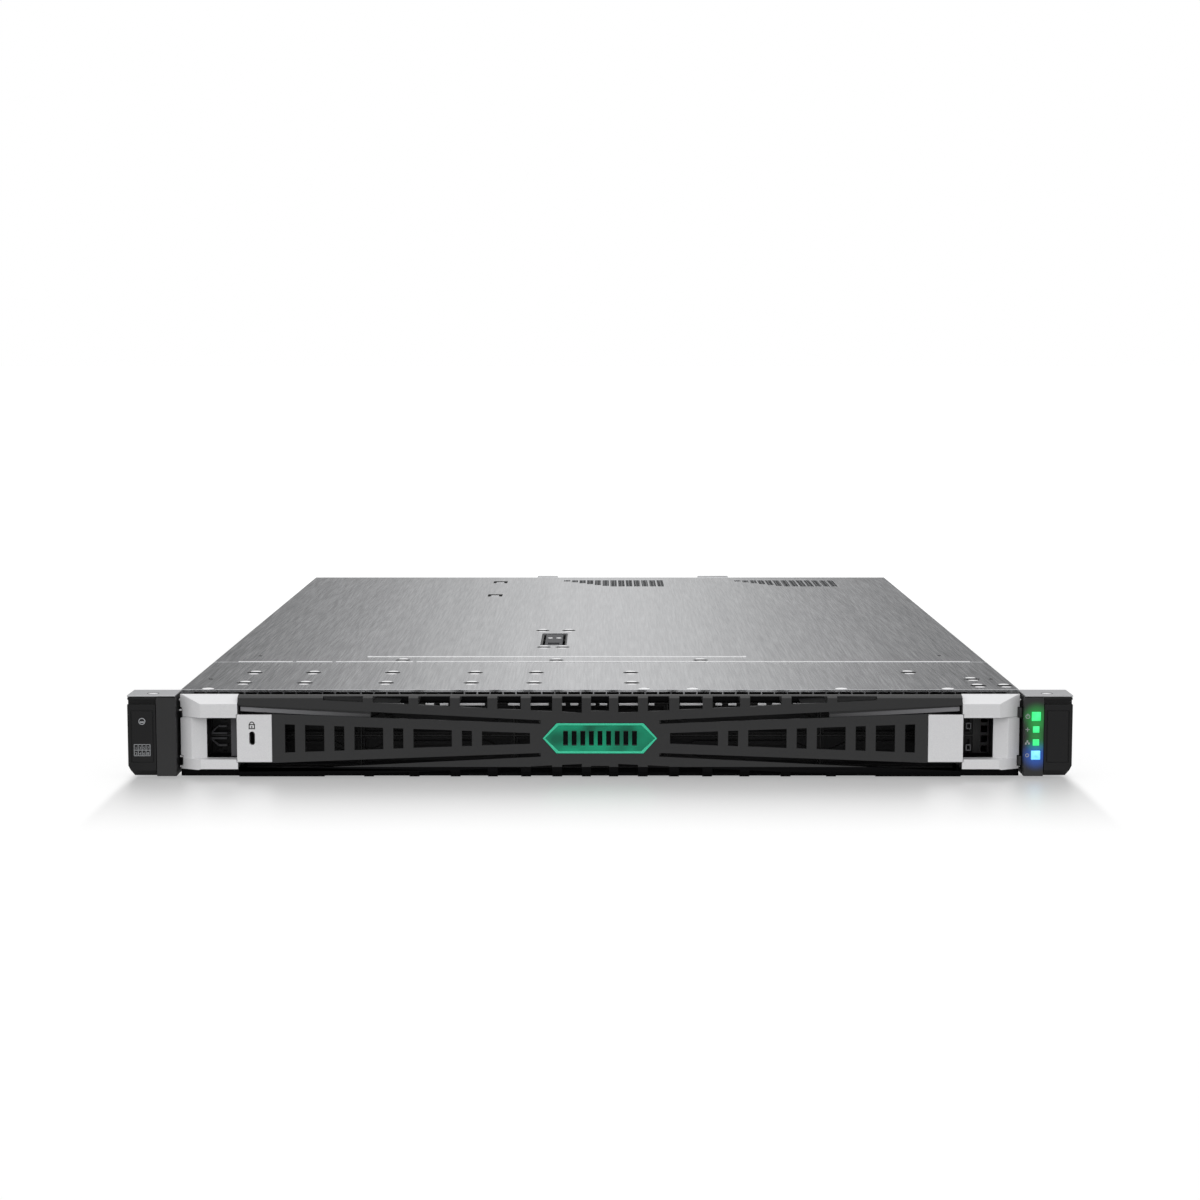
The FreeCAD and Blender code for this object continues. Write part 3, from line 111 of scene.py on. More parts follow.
def newMaterial(name, colour, roughness, metallic=0.0, **values):
    material = bpy.data.materials.new(name)
    material.use_nodes = True
    tree = material.node_tree
    shader = tree.nodes["Principled BSDF"]
    shader.inputs["Base Color"].default_value = hexColour(colour)
    shader.inputs["Roughness"].default_value = roughness
    shader.inputs["Metallic"].default_value = metallic
    for key, value in values.items():
        shader.inputs[key].default_value = value
    return material, tree, shader


# materials


def brushedSteel(name, light, dark, roughness, width=1.0, length=70.0):
    # zinc-coated sheet, brushed along its depth: fine streaks some centimetres long, with a slow change of
    # tone under them. Real streaks are 0.1 mm wide; these are coarser, so that they show
    material, tree, shader = newMaterial(name, light, roughness, 1.0)
    place = addNode(tree, "ShaderNodeTexCoord")
    along = addNode(tree, "ShaderNodeMapping", {"Scale": (1, width / length, 1)},
                    {"Vector": place.outputs["Object"]})
    streaks = addNode(tree, "ShaderNodeTexNoise", {"Scale": 1 / (width * mm), "Detail": 2.0},
                      {"Vector": along.outputs["Vector"]})
    bands = addNode(tree, "ShaderNodeTexNoise", {"Scale": 1 / (12 * width * mm), "Detail": 2.0},
                    {"Vector": along.outputs["Vector"]})
    tone = addNode(tree, "ShaderNodeMix", {"Factor": 0.25},
                   {2: streaks.outputs["Fac"], 3: bands.outputs["Fac"]})
    even = addNode(tree, "ShaderNodeMapRange", {"From Min": 0.32, "From Max": 0.68},
                   {"Value": tone.outputs[0]})
    tint = addNode(tree, "ShaderNodeMix", {6: hexColour(dark), 7: hexColour(light)},
                   {0: even.outputs["Result"]}, data_type="RGBA")
    tree.links.new(tint.outputs[2], shader.inputs["Base Color"])
    sheen = addNode(tree, "ShaderNodeMapRange",
                    {"From Min": 0.3, "From Max": 0.7, "To Min": roughness - 0.02, "To Max": roughness + 0.02},
                    {"Value": streaks.outputs["Fac"]})
    tree.links.new(sheen.outputs["Result"], shader.inputs["Roughness"])
    groove = addNode(tree, "ShaderNodeBump", {"Strength": 0.3, "Distance": 0.006 * mm},
                     {"Height": streaks.outputs["Fac"]})
    tree.links.new(groove.outputs["Normal"], shader.inputs["Normal"])
    return material


def mouldedPlastic(name, colour, lighter, roughness, grit=0.5, depth=0.015, **values):
    # a moulding with a fine eroded skin: matt, with a slight sparkle where it turns to the light, and a
    # faint cloudiness a few centimetres across
    material, tree, shader = newMaterial(name, colour, roughness, **values)
    place = addNode(tree, "ShaderNodeTexCoord")
    skin = addNode(tree, "ShaderNodeTexNoise", {"Scale": 1 / (grit * mm), "Detail": 2.0},
                   {"Vector": place.outputs["Object"]})
    cloud = addNode(tree, "ShaderNodeTexNoise", {"Scale": 1 / (38 * mm), "Detail": 3.0},
                    {"Vector": place.outputs["Object"]})
    tint = addNode(tree, "ShaderNodeMix", {6: hexColour(colour), 7: hexColour(lighter)},
                   {0: cloud.outputs["Fac"]}, data_type="RGBA")
    tree.links.new(tint.outputs[2], shader.inputs["Base Color"])
    sheen = addNode(tree, "ShaderNodeMapRange",
                    {"From Min": 0.3, "From Max": 0.7, "To Min": roughness - 0.06, "To Max": roughness + 0.06},
                    {"Value": skin.outputs["Fac"]})
    tree.links.new(sheen.outputs["Result"], shader.inputs["Roughness"])
    grain = addNode(tree, "ShaderNodeBump", {"Strength": 0.5, "Distance": depth * mm},
                    {"Height": skin.outputs["Fac"]})
    tree.links.new(grain.outputs["Normal"], shader.inputs["Normal"])
    return material


def metallicPaint(name, colour, darker, roughness, metallic, flakeAndSheen=0.3):
    # paint with aluminium flakes 0.05 mm across, drawn coarser so that they show: a satin coat, fine glitter.
    # Drawn some millimetres across, as for the green enamel, the same noise is a painted sheen
    material, tree, shader = newMaterial(name, colour, roughness, metallic)
    place = addNode(tree, "ShaderNodeTexCoord")
    flakesAndSheen = addNode(tree, "ShaderNodeTexNoise", {"Scale": 1 / (flakeAndSheen * mm), "Detail": 1.0},
                     {"Vector": place.outputs["Object"]})
    even = addNode(tree, "ShaderNodeMapRange", {"From Min": 0.3, "From Max": 0.7},
                   {"Value": flakesAndSheen.outputs["Fac"]})
    tint = addNode(tree, "ShaderNodeMix", {6: hexColour(darker), 7: hexColour(colour)},
                   {0: even.outputs["Result"]}, data_type="RGBA")
    tree.links.new(tint.outputs[2], shader.inputs["Base Color"])
    grain = addNode(tree, "ShaderNodeBump", {"Strength": 0.3, "Distance": 0.006 * mm},
                    {"Height": flakesAndSheen.outputs["Fac"]})
    tree.links.new(grain.outputs["Normal"], shader.inputs["Normal"])
    return material


def litLens(name, rim, core, strength):
    # an acrylic light pipe over a lamp: milky, with a paler cloud where the lamp stands behind it
    material, tree, shader = newMaterial(name, rim, 0.25)
    shader.inputs["Emission Strength"].default_value = strength
    place = addNode(tree, "ShaderNodeTexCoord")
    cloud = addNode(tree, "ShaderNodeTexNoise", {"Scale": 1 / (3.0 * mm), "Detail": 1.0},
                    {"Vector": place.outputs["Object"]})
    tint = addNode(tree, "ShaderNodeMix", {6: hexColour(rim), 7: hexColour(core)},
                   {0: cloud.outputs["Fac"]}, data_type="RGBA")
    tree.links.new(tint.outputs[2], shader.inputs["Base Color"])
    tree.links.new(tint.outputs[2], shader.inputs["Emission Color"])
    return material


def duller(level):
    # a rough or shaded moulding gives back less of the room than a plain one, whose level is 0.5
    return {"Specular IOR Level": level}


finishes = {
    "cover_steel": brushedSteel("brushedZincSteelCover", "#cacbcd", "#a6a7aa", 0.25, 0.9, 36.0),
    "tray_steel": brushedSteel("zincSteelTray", "#a9aaac", "#8f9092", 0.36, 1.2),
    "supply_steel": brushedSteel("nickelSteelSupply", "#a6a7a9", "#8e8f91", 0.34),
    "cage_steel": mouldedPlastic("powderCoatedCage", "#0f0f10", "#141415", 0.5, 0.6, 0.03),
    "black_plastic": mouldedPlastic("mouldedAbsBlack", "#171718", "#1b1b1c", 0.46),
    "drive_plastic": mouldedPlastic("mouldedAbsCarrier", "#08080a", "#0c0c0e", 0.5, **duller(0.3)),
    "silver_plastic": metallicPaint("silverPaintedAbs", "#e6e6e7", "#dcdcde", 0.4, 0.2),
    # the green enamel's tone noise is 14 mm across: painted sheen
    "green_enamel": metallicPaint("greenMetallicEnamel", "#12b486", "#086a4f", 0.22, 0.45, 14.0),
    "lock_brass": metallicPaint("blackenedBrass", "#161614", "#0e0e0d", 0.4, 0.6),
    "latch_grey": mouldedPlastic("mouldedNylonGrey", "#434447", "#4a4b4e", 0.6, **duller(0.25)),
    "release_blue": mouldedPlastic("mouldedNylonBlue", "#1e4c9c", "#2658ac", 0.4),
    "fan_plastic": mouldedPlastic("mouldedPbtBlack", "#19191b", "#202022", 0.45),
    "circuit_board": mouldedPlastic("solderMaskGreen", "#0b3d20", "#0f4c29", 0.3),
    "fin_aluminium": brushedSteel("stampedAluminiumFins", "#c5c6c8", "#b2b3b5", 0.3),
    "socket_steel": brushedSteel("nickelPlatedShell", "#b9babb", "#a6a7a8", 0.28, 0.6, 8.0),
    "green_lens": litLens("acrylicLensGreen", "#1ccc60", "#4eee94", 0.75),
    "blue_lens": litLens("acrylicLensBlue", "#38a4f4", "#98e6ff", 0.85),
}
for node, slot in slotOf.items():
    mesh = nodes[node].data
    mesh.materials.clear()
    mesh.materials.append(finishes[slot])

# finishes that only the scene's own pieces and rounded edges have
# near-white steel: a painted highlight on the ear dimples; also the latch's ovals and screw and the blanks'
# thumbscrews
paleSteel = brushedSteel("paleZincSteel", "#eeeeef", "#e2e2e4", 0.3, 9.0, 9.0)
# a lighter, less mirror-like copy of the tray steel for the ears: painted light in place of what the dim room
# gives them
earLitSteel = metallicPaint("zincSteelEarLit", "#bfc0c2", "#b0b1b3", 0.42, 0.55)
# a lighter, rougher copy of the cover steel on the cover's rounded edges: painted highlight
foldHighlightSteel = metallicPaint("zincSteelFoldHighlight", "#d2d3d5", "#c3c4c6", 0.42, 0.55)
darkSteel = brushedSteel("zincSteelShaded", "#6f7072", "#5d5e60", 0.42)
# near-white steel for the lances' bridges and lips, the hood's hem and the cage's front edge: painted highlight
paintedHighlightSteel = metallicPaint("zincSteelPaintedHighlight", "#f4f4f5", "#e6e6e8", 0.4, 0.2)
# a lighter copy of the green enamel on the insert's rim: painted highlight
rimHighlightEnamel = metallicPaint("greenEnamelRimHighlight", "#4fe0b4", "#35c89c", 0.2, 0.3)
# black drawn into slots, holes, screw recesses and gaps, and under the cover's lip: painted shade
paintedShadeBlack = mouldedPlastic("blackPaintedShade", "#080809", "#0c0c0d", 0.8, 0.9, 0.05, **duller(0.1))
# a darker copy of the black moulding: painted shade on the frame's ledges inside its openings and its lower
# part, and on the brackets' undersides and lower edges
shadedAbs = mouldedPlastic("mouldedAbsPaintedShade", "#0b0b0c", "#0f0f10", 0.65, **duller(0.03))
leverAbs = mouldedPlastic("mouldedAbsLever", "#111112", "#151516", 0.4, **duller(0.25))
# a mid-grey copy of the black moulding for the carrier's jaws and the grip post: painted highlight
ribHighlightAbs = mouldedPlastic("mouldedAbsRibHighlight", "#454548", "#4c4c50", 0.42)
markInk = mouldedPlastic("screenInkGrey", "#a0a2a5", "#a8aaad", 0.5)
padlockInk = mouldedPlastic("screenInkBlack", "#161617", "#1c1c1d", 0.5)
goldPlate = metallicPaint("goldPlatedContact", "#d9b25a", "#c49c45", 0.25, 1.0)


def reflectionPaintedStrip(name, inner, outer, reach):
    # plastic with a painted reflection, lighter and lighter towards its outer end
    material, tree, shader = newMaterial(name, inner, 0.3)
    place = addNode(tree, "ShaderNodeTexCoord")
    split = addNode(tree, "ShaderNodeSeparateXYZ", None, {0: place.outputs["Object"]})
    aside = addNode(tree, "ShaderNodeMath", None, {0: split.outputs["X"]}, operation="ABSOLUTE")
    fade = addNode(tree, "ShaderNodeMapRange", {"From Min": reach[0] * mm, "From Max": reach[1] * mm},
                   {"Value": aside.outputs[0]})
    tint = addNode(tree, "ShaderNodeMix", {6: hexColour(inner), 7: hexColour(outer)},
                   {0: fade.outputs["Result"]}, data_type="RGBA")
    tree.links.new(tint.outputs[2], shader.inputs["Base Color"])
    return material


railPaintedReflection = reflectionPaintedStrip("absStripPaintedReflection", "#3a3a3b", "#87878a", (118.0, 180.0))
print("materials made")


# how pieces are made


def newPiece(name, shape, body, slot, *materials, smooth=False):
    mesh = bpy.data.meshes.new(name)
    shape.normal_update()
    shape.to_mesh(mesh)
    shape.free()
    for material in materials:
        mesh.materials.append(material)
    if smooth:
        mesh.shade_smooth()
    item = bpy.data.objects.new(name, mesh)
    bpy.context.scene.collection.objects.link(item)
    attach(item, body)
    return item


def paintFaces(verts, paint):
    for face in {face for vert in verts if vert.is_valid for face in vert.link_faces}:
        face.material_index = paint


def addBlock(shape, x, y, z, bevel=0.0, paint=0, rise=0.0):
    # a block from (low, high) pairs, its edges rounded by bevel; rise lifts its high x end
    size = [(high - low) * mm for low, high in (x, y, z)]
    middle = Vector([(low + high) / 2 * mm for low, high in (x, y, z)])
    spot = Matrix.Translation(middle) @ Matrix.Diagonal((*size, 1))
    made = bmesh.ops.create_cube(shape, size=1.0, matrix=spot)
    if rise:
        far = [vert for vert in made["verts"] if vert.co.x > middle.x]
        bmesh.ops.translate(shape, verts=far, vec=(0, 0, rise * mm))
    paintFaces(made["verts"], paint)
    if bevel:
        edges = list({edge for vert in made["verts"] for edge in vert.link_edges})
        bmesh.ops.bevel(shape, geom=edges, offset=bevel * mm, affect="EDGES", segments=2, profile=0.5,
                        material=-1)


def addOutline(shape, x, y, z, line, bevel=0.0):
    # four bars round a rectangle of x and z
    for barX, barZ in (((x[0], x[0] + line), z), ((x[1] - line, x[1]), z),
                       (x, (z[0], z[0] + line)), (x, (z[1] - line, z[1]))):
        addBlock(shape, barX, y, barZ, bevel)


def addRound(shape, middle, radius, length, axis="Z", sides=20, bevel=0.0, paint=0):
    # a disc or post round an axis
    turn = {"X": Matrix.Rotation(math.pi / 2, 4, "Y"), "Y": Matrix.Rotation(math.pi / 2, 4, "X"), "Z": Matrix()}
    made = bmesh.ops.create_cone(shape, cap_ends=True, segments=sides, radius1=radius * mm, radius2=radius * mm,
                                 depth=length * mm, matrix=Matrix.Translation(Vector(middle) * mm) @ turn[axis])
    paintFaces(made["verts"], paint)
    if bevel:
        rims = [edge for edge in {edge for vert in made["verts"] for edge in vert.link_edges}
                if any(len(face.verts) > 4 for face in edge.link_faces)]
        bmesh.ops.bevel(shape, geom=rims, offset=bevel * mm, affect="EDGES", segments=2, profile=0.5,
                        material=-1)


def addDome(shape, middle, halves, paint=0):
    # a squashed ball, of which the sheet shows the upper half as a pressed bump
    spot = Matrix.Translation(Vector(middle) * mm) @ Matrix.Diagonal((*(Vector(halves) * mm), 1))
    made = bmesh.ops.create_uvsphere(shape, u_segments=16, v_segments=10, radius=1.0, matrix=spot)
    paintFaces(made["verts"], paint)


def addRing(shape, middle, radius, wall, length, axis="Y", sides=28, paint=0, arc=360):
    # a ring of square wire, spun round Y or Z; less than a full arc starts at +X
    around = {"Y": Vector((0, 1, 0)), "Z": Vector((0, 0, 1))}[axis]
    flat = {"Y": Matrix(), "Z": Matrix.Rotation(math.pi / 2, 4, "X")}[axis]
    centre = Vector(middle) * mm
    spot = Matrix.Translation(centre + Vector((radius * mm, 0, 0)))
    made = bmesh.ops.create_grid(shape, x_segments=1, y_segments=1, size=0.5,
                                 matrix=spot @ flat @ Matrix.Diagonal((wall * mm, length * mm, 1, 1)))
    faces = list({face for vert in made["verts"] for face in vert.link_faces})
    older = set(shape.faces) - set(faces)
    bmesh.ops.spin(shape, geom=faces + list({edge for face in faces for edge in face.edges}) + made["verts"],
                   cent=centre, axis=around, angle=math.radians(arc), steps=sides, use_merge=arc == 360)
    if arc == 360:
        bmesh.ops.delete(shape, geom=[face for face in faces if face.is_valid], context="FACES_ONLY")
    fresh = [face for face in shape.faces if face not in older]
    bmesh.ops.recalc_face_normals(shape, faces=fresh)
    for face in fresh:
        face.material_index = paint


softEdges = {
    # node: bevel width
    "bezel_frame": 0.3, "bezel_bracket_left": 0.4, "bezel_bracket_right": 0.4, "bezel_insert": 0.2,
    "bezel_plate_left": 0.3, "bezel_plate_right": 0.3, "ear_cover_left": 0.5, "ear_cover_right": 0.5,
    "ear_lever_left": 0.45, "ear_lever_right": 0.45, "ear_bracket_left": 0.25, "ear_bracket_right": 0.25,
    "power_button": 0.35, "unit_button": 0.35, "status_lenses": 0.35, "hood_latch_lever": 0.4,
    "hood_latch_tub": 0.2, "lock_barrel": 0.2, "supply_handle_1": 1.2, "supply_handle_2": 1.2,
    "supply_latch_1": 0.5, "supply_latch_2": 0.5, "power_supply_1": 0.35, "power_supply_2": 0.35,
    "rear_connectors": 0.2, "network_module": 0.2, "side_studs": 0.4, "hood": 0.15, "front_top_panel": 0.15,
}
sharpTurn = 28.0      # degrees; edges that turn less aren't rounded
markBack = 0.06       # marks stand this far in front of the surfaces that they are printed on
markedFronts = ("bezel_plate_left", "ear_lever_left", "ear_cover_right")
roofDrop = 0.35       # the ears' roofs are drawn this much lower, for the dimples pressed in them
earCorner = {"side": 241.3, "low": 1.4, "wide": 3.0, "tall": 5.8}      # cut off each ear's lower outer corner
ownFinish = {"ear_bracket": earLitSteel, "ear_lever": leverAbs}
shade = {"bracketLow": 4.4, "frameLow": 6.2, "frameTop": 41.5, "behindFace": 0.8}
# the insert's rim, this deep, takes the painted highlight
rimDeep = 0.2         # the insert's bright rim


# faces that take painted shade
def shadedUnder(face):
    return face.normal.z < -0.3 or face.calc_center_median().z < shade["bracketLow"] * mm


def shadedInside(face):
    middle = face.calc_center_median() / mm
    ledge = face.normal.z > 0.5 and middle.y > faceY + shade["behindFace"] and middle.z < shade["frameTop"]
    return ledge or middle.z < shade["frameLow"]


# the cover's rounded edges, which take the painted highlight
def roundedEdge(face):
    return 0.15 < abs(face.normal.z) < 0.97


def onRim(face):
    return face.calc_center_median().y < (insertLow.y + rimDeep) * mm


secondFinish = {
    # node: the faces that take another finish, that finish, and a height at which the faces are split. The
    # bezel's and the brackets' second finish is painted shade, the insert's is a painted highlight on its rim,
    # and the cover's is a painted highlight on its rounded edges
    "bezel_frame": (shadedInside, shadedAbs, shade["frameLow"]),
    "bezel_bracket_left": (shadedUnder, shadedAbs, shade["bracketLow"]),
    "bezel_bracket_right": (shadedUnder, shadedAbs, shade["bracketLow"]),
    "bezel_insert": (onRim, rimHighlightEnamel, None),
    "hood": (roundedEdge, foldHighlightSteel, None),
    "front_top_panel": (roundedEdge, foldHighlightSteel, None),
}


def cutEarCorner(shape, node):
    side = -1 if node.endswith("left") else 1
    c = earCorner
    shape.normal_update()
    made = bmesh.ops.bisect_plane(shape, geom=shape.verts[:] + shape.edges[:] + shape.faces[:], dist=1e-7,
                                  plane_co=Vector((side * c["side"], 0, c["low"] + c["tall"])) * mm,
                                  plane_no=(side * c["tall"], 0, -c["wide"]), clear_outer=True)
    rim = [item for item in made["geom_cut"] if isinstance(item, bmesh.types.BMEdge)]
    if rim:
        bmesh.ops.holes_fill(shape, edges=rim)
        bmesh.ops.triangulate(shape, faces=[face for face in shape.faces if len(face.verts) > 3])


def softened(node, width):
    # the CAD node's shape with its edges rounded
    shape = bmesh.new()
    shape.from_mesh(nodes[node].data)
    bmesh.ops.remove_doubles(shape, verts=shape.verts, dist=1e-6)
    if node in markedFronts:
        front = [vert for vert in shape.verts if vert.co.y < (faceY + 0.01) * mm]
        bmesh.ops.translate(shape, verts=front, vec=(0, markBack * mm, 0))
    if node.startswith("ear_bracket"):
        roof = [vert for vert in shape.verts if vert.co.z > (cadHigh.z - 0.1 * mm)]
        bmesh.ops.translate(shape, verts=roof, vec=(0, 0, -roofDrop * mm))
    if node in ("hood", "front_top_panel"):
        # the square pads on the sheet are pressed flat, and rounded ones come in their place
        for vert in shape.verts:
            if vert.co.z > (coverTop + 0.02) * mm and vert.co.y < (rearY - 2) * mm:
                vert.co.z = coverTop * mm
        bmesh.ops.remove_doubles(shape, verts=shape.verts, dist=1e-6)
    if node.startswith("ear_"):
        cutEarCorner(shape, node)
    materials = [ownFinish.get(node.rsplit("_", 1)[0], finishes[slotOf[node]])]
    if node in secondFinish:
        chosen, material, height = secondFinish[node]
        materials.append(material)
        if height:
            bmesh.ops.bisect_plane(shape, geom=shape.verts[:] + shape.edges[:] + shape.faces[:], dist=1e-7,
                                   plane_co=(0, 0, height * mm), plane_no=(0, 0, 1))
        shape.normal_update()
        for face in shape.faces:
            face.material_index = 1 if chosen(face) else 0
    bmesh.ops.dissolve_limit(shape, angle_limit=math.radians(1.0), verts=shape.verts, edges=shape.edges,
                             delimit={"MATERIAL"})
    sharp = [edge for edge in shape.edges if len(edge.link_faces) == 2
             and edge.calc_face_angle() > math.radians(sharpTurn)]
    bmesh.ops.bevel(shape, geom=sharp, offset=width * mm, affect="EDGES", segments=2, profile=0.5,
                    material=-1, clamp_overlap=True)
    bmesh.ops.triangulate(shape, faces=[face for face in shape.faces if len(face.verts) > 4])
    if node in secondFinish:
        shape.normal_update()
        for face in shape.faces:
            if chosen(face):
                face.material_index = 1
    item = newPiece(node + "_soft", shape, bodyOf[node], slotOf[node], *materials)
    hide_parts(node)
    return item


softPieces = {node: softened(node, width) for node, width in softEdges.items()}
print("edges softened")


# top of the machine

coverMarks = {
    # each lance is a raised bridge, an open gap in front of it and a lip: half sizes and distances. The bridges
    # and lips are drawn in near-white steel as painted highlights, the gap in black as painted shade
    "bridge": (2.8, 2.1, 0.38), "bridgeBack": 4.4,
    "gap": (4.3, 3.2, 0.12),
    "lip": (2.7, 1.6, 0.2), "lipFront": 4.6,
    # where they stand: x and how far behind the front edge
    "panel": [(x, depth) for depth in (24.5, 64.5) for x in (-188, -156, -113, -68, -34.8, 16.8)]
             + [(168.2, 65.6), (198.6, 39.0), (198.4, 14.0), (212.3, 14.0)],
    "hood": [(-111.6, 117.0), (-24.7, 117.0), (56.9, 117.0), (-33.1, 176), (-22.1, 176),
             (-35.7, 259), (-19.5, 259)],
    # bumps on the front edge, with a slit behind each; the slits are black, painted shade
    "frontBumps": (-203.7, 22.9, 48.1, 125.4, 180.8),
    "frontHalves": (3.2, 2.4, 0.38), "frontBack": 3.2,
    "slitHalf": 2.4, "slitBack": (5.2, 6.4), "slitZ": (42.7, 43.06),
    # drilled dots, drawn as black discs: painted shade
    "dots": [(-194.7, 135.0), (194.8, 136.5)],
    "panelDots": [(208.9, 39.0), (-208.0, 39.0)],
    "dotRadius": 1.1, "dotTall": 0.12,
}
seam = {
    "spans": ((-203.6, -173.0), (-171.0, -150.8), (-148.8, -105.3), (-103.3, 208.3)),
    "y": (0.1, 1.3), "z": (42.3, 43.25), "bevel": 0.15,
    "bead": (-131.8, 82.4), "beadY": (131.2, 132.6), "beadZ": (42.6, 43.2),
    "endRadius": 1.4, "endTall": 0.5,
}


def coverBumps():
    m = coverMarks
    for name, body, spots in (("panelBumps", bodyOf["front_top_panel"], m["panel"]),
                              ("hoodBumps", bodyOf["hood"], m["hood"])):
        shape = bmesh.new()
        for x, depth in spots:
            y = frontY + depth
            addDome(shape, (x, y + m["bridgeBack"], coverTop), m["bridge"])
            addDome(shape, (x, y, coverTop), m["gap"], 1)
            addDome(shape, (x, y - m["lipFront"], coverTop), m["lip"])
        if name == "panelBumps":
            for x in m["frontBumps"]:
                addDome(shape, (x, frontY + m["frontBack"], coverTop), m["frontHalves"])
                addBlock(shape, across(x, m["slitHalf"]), shifted(frontY, m["slitBack"]), m["slitZ"], 0.0, 1)
        dots = m["dots"] if name == "hoodBumps" else m["panelDots"]
        for x, depth in dots:
            addRound(shape, (x, frontY + depth, coverTop), m["dotRadius"], m["dotTall"], paint=1)
        newPiece(name, shape, body, "cover_steel", paintedHighlightSteel, paintedShadeBlack, smooth=True)


def seamEdges():
    # the hood's hemmed front edge, and the bead pressed behind it, drawn in near-white steel as a painted
    # highlight
    shape = bmesh.new()
    for span in seam["spans"]:
        addBlock(shape, span, shifted(hoodY, seam["y"]), seam["z"], seam["bevel"])
    beadY = shifted(frontY, seam["beadY"])
    addBlock(shape, seam["bead"], beadY, seam["beadZ"], seam["bevel"])
    for x in seam["bead"]:
        addRound(shape, (x, sum(beadY) / 2, coverTop), seam["endRadius"], seam["endTall"], bevel=seam["bevel"])
    newPiece("seamEdges", shape, bodyOf["hood"], "cover_steel", paintedHighlightSteel)


ventMesh = {"groups": ((-28.6, 47.8), (100.0, 176.6)), "depth": (533.0, 583.0), "z": 42.8, "wall": 0.5,
            "pitch": 2.6, "wire": 0.45}
clipSlots = {"x": (-79.2, -69.7), "depths": (465, 560), "long": 5.0, "bar": 7.0, "leg": 1.9, "ahead": 2.0,
             "edge": 0.4, "z": (42.4, 43.06), "tongueZ": (42.4, 43.2), "tongueGap": 0.2}


def ventScreens():
    # perforated sheet under the vents
    shape = bmesh.new()
    for x in ventMesh["groups"]:
        y = shifted(frontY, ventMesh["depth"])
        wide, long = x[1] - x[0], y[1] - y[0]
        spot = Matrix.Translation(Vector((sum(x) / 2, sum(y) / 2, ventMesh["z"])) * mm)
        made = bmesh.ops.create_grid(shape, x_segments=round(wide / ventMesh["pitch"]),
                                     y_segments=round(long / ventMesh["pitch"]), size=0.5,
                                     matrix=spot @ Matrix.Diagonal((wide * mm, long * mm, 1, 1)))
        faces = list({face for vert in made["verts"] for face in vert.link_faces})
        bmesh.ops.inset_individual(shape, faces=faces, thickness=ventMesh["wire"] * mm)
        bmesh.ops.delete(shape, geom=faces, context="FACES_ONLY")
    bmesh.ops.solidify(shape, geom=shape.faces[:], thickness=ventMesh["wall"] * mm)
    newPiece("ventScreens", shape, bodyOf["hood"], "cover_steel", darkSteel)


def clipTongues():
    # the U-shaped slots of two cable clips, drawn in black as painted shade, with a steel tongue in each
    c = clipSlots
    shape = bmesh.new()
    left, right = c["x"][0] - c["edge"], c["x"][1] + c["edge"]
    for depth in c["depths"]:
        front = frontY + depth - c["ahead"]
        back = frontY + depth + c["long"]
        addBlock(shape, (left, right), (back, back + c["bar"]), c["z"], 0.05)
        for x in (left, right - c["leg"]):
            addBlock(shape, (x, x + c["leg"]), (front, back), c["z"], 0.05)
        addBlock(shape, (c["x"][0] + c["leg"], c["x"][1] - c["leg"]), (front, back - c["tongueGap"]),
                 c["tongueZ"], 0.15, 1)
    newPiece("clipTongues", shape, bodyOf["hood"], "cover_steel", paintedShadeBlack, finishes["cover_steel"])


latchMarks = {"ovals": (-30.3, -25.1), "depth": 222.0, "halves": (1.7, 2.6, 0.16), "top": 42.8,
              "screwDepth": 205.0, "screwZ": 41.85, "screw": (2.2, 0.7), "slot": (1.8, 0.3),
              "slotZ": (42.1, 42.25)}


def latchDetails():
    # two raised ovals and the slotted screw that locks the lever, in near-white steel; the screw's slot is
    # black, painted shade
    shape = bmesh.new()
    m = latchMarks
    for x in m["ovals"]:
        addDome(shape, (x, frontY + m["depth"], m["top"]), m["halves"])
    middle = sum(m["ovals"]) / 2
    y = frontY + m["screwDepth"]
    addRound(shape, (middle, y, m["screwZ"]), *m["screw"], bevel=0.2)
    addBlock(shape, across(middle, m["slot"][0]), across(y, m["slot"][1]), m["slotZ"], 0.0, 1)
    newPiece("latchDetails", shape, bodyOf["hood_latch_lever"], "latch_grey", paleSteel, paintedShadeBlack)


coverBumps()
seamEdges()
ventScreens()
clipTongues()
latchDetails()
print("top finished")


# bezel and what shows through it

# a black strip under the top panel's lip, and a black fill in its longest opening: painted shade
lipShade = {"x": 184.6, "y": (-305.15, -303.65), "z": (36.9, 40.3)}
tongues = {
    # ends of the cage's bright front edge, where it isn't cut away; the brightness is a painted highlight
    "spans": (
        (-118, -109), (-105.8, -101.5), (-90.5, -86), (-83, -78.6), (-73.2, -59.7), (-47.7, -41.5),
        (-36.4, -26.6), (-20, -17.8), (-15.4, -11.2), (-4.7, -2.3), (-0.2, 3.7), (9.8, 20.1), (25.2, 28.2),
        (41.4, 53.9), (59.9, 63.3), (66.5, 70.7), (81.8, 86.2), (89.2, 93.8), (100, 104.2), (109.4, 115.7),
    ),
    "y": (-305.0, -303.8), "z": (34.8, 36.0),
}
# a black plate behind the insert's slots: painted shade
insertBack = {"half": 19.5, "y": (-0.4, -0.05), "z": (-3.2, 3.2)}      # from the insert's back and midZ
gripPost = {"x": (-189.6, -185.9), "y": (8.2, 10.4), "z": (10.2, 31.2)}
lipBlank = {"x": (-104.0, -75.0), "y": (-0.25, 0.2), "z": (40.9, 41.6)}
strip = {"x": (117.2, 183.6), "low": (10.2, 13.9), "tall": 2.2, "y": (1.65, 2.0)}  # low: above midZ at each end


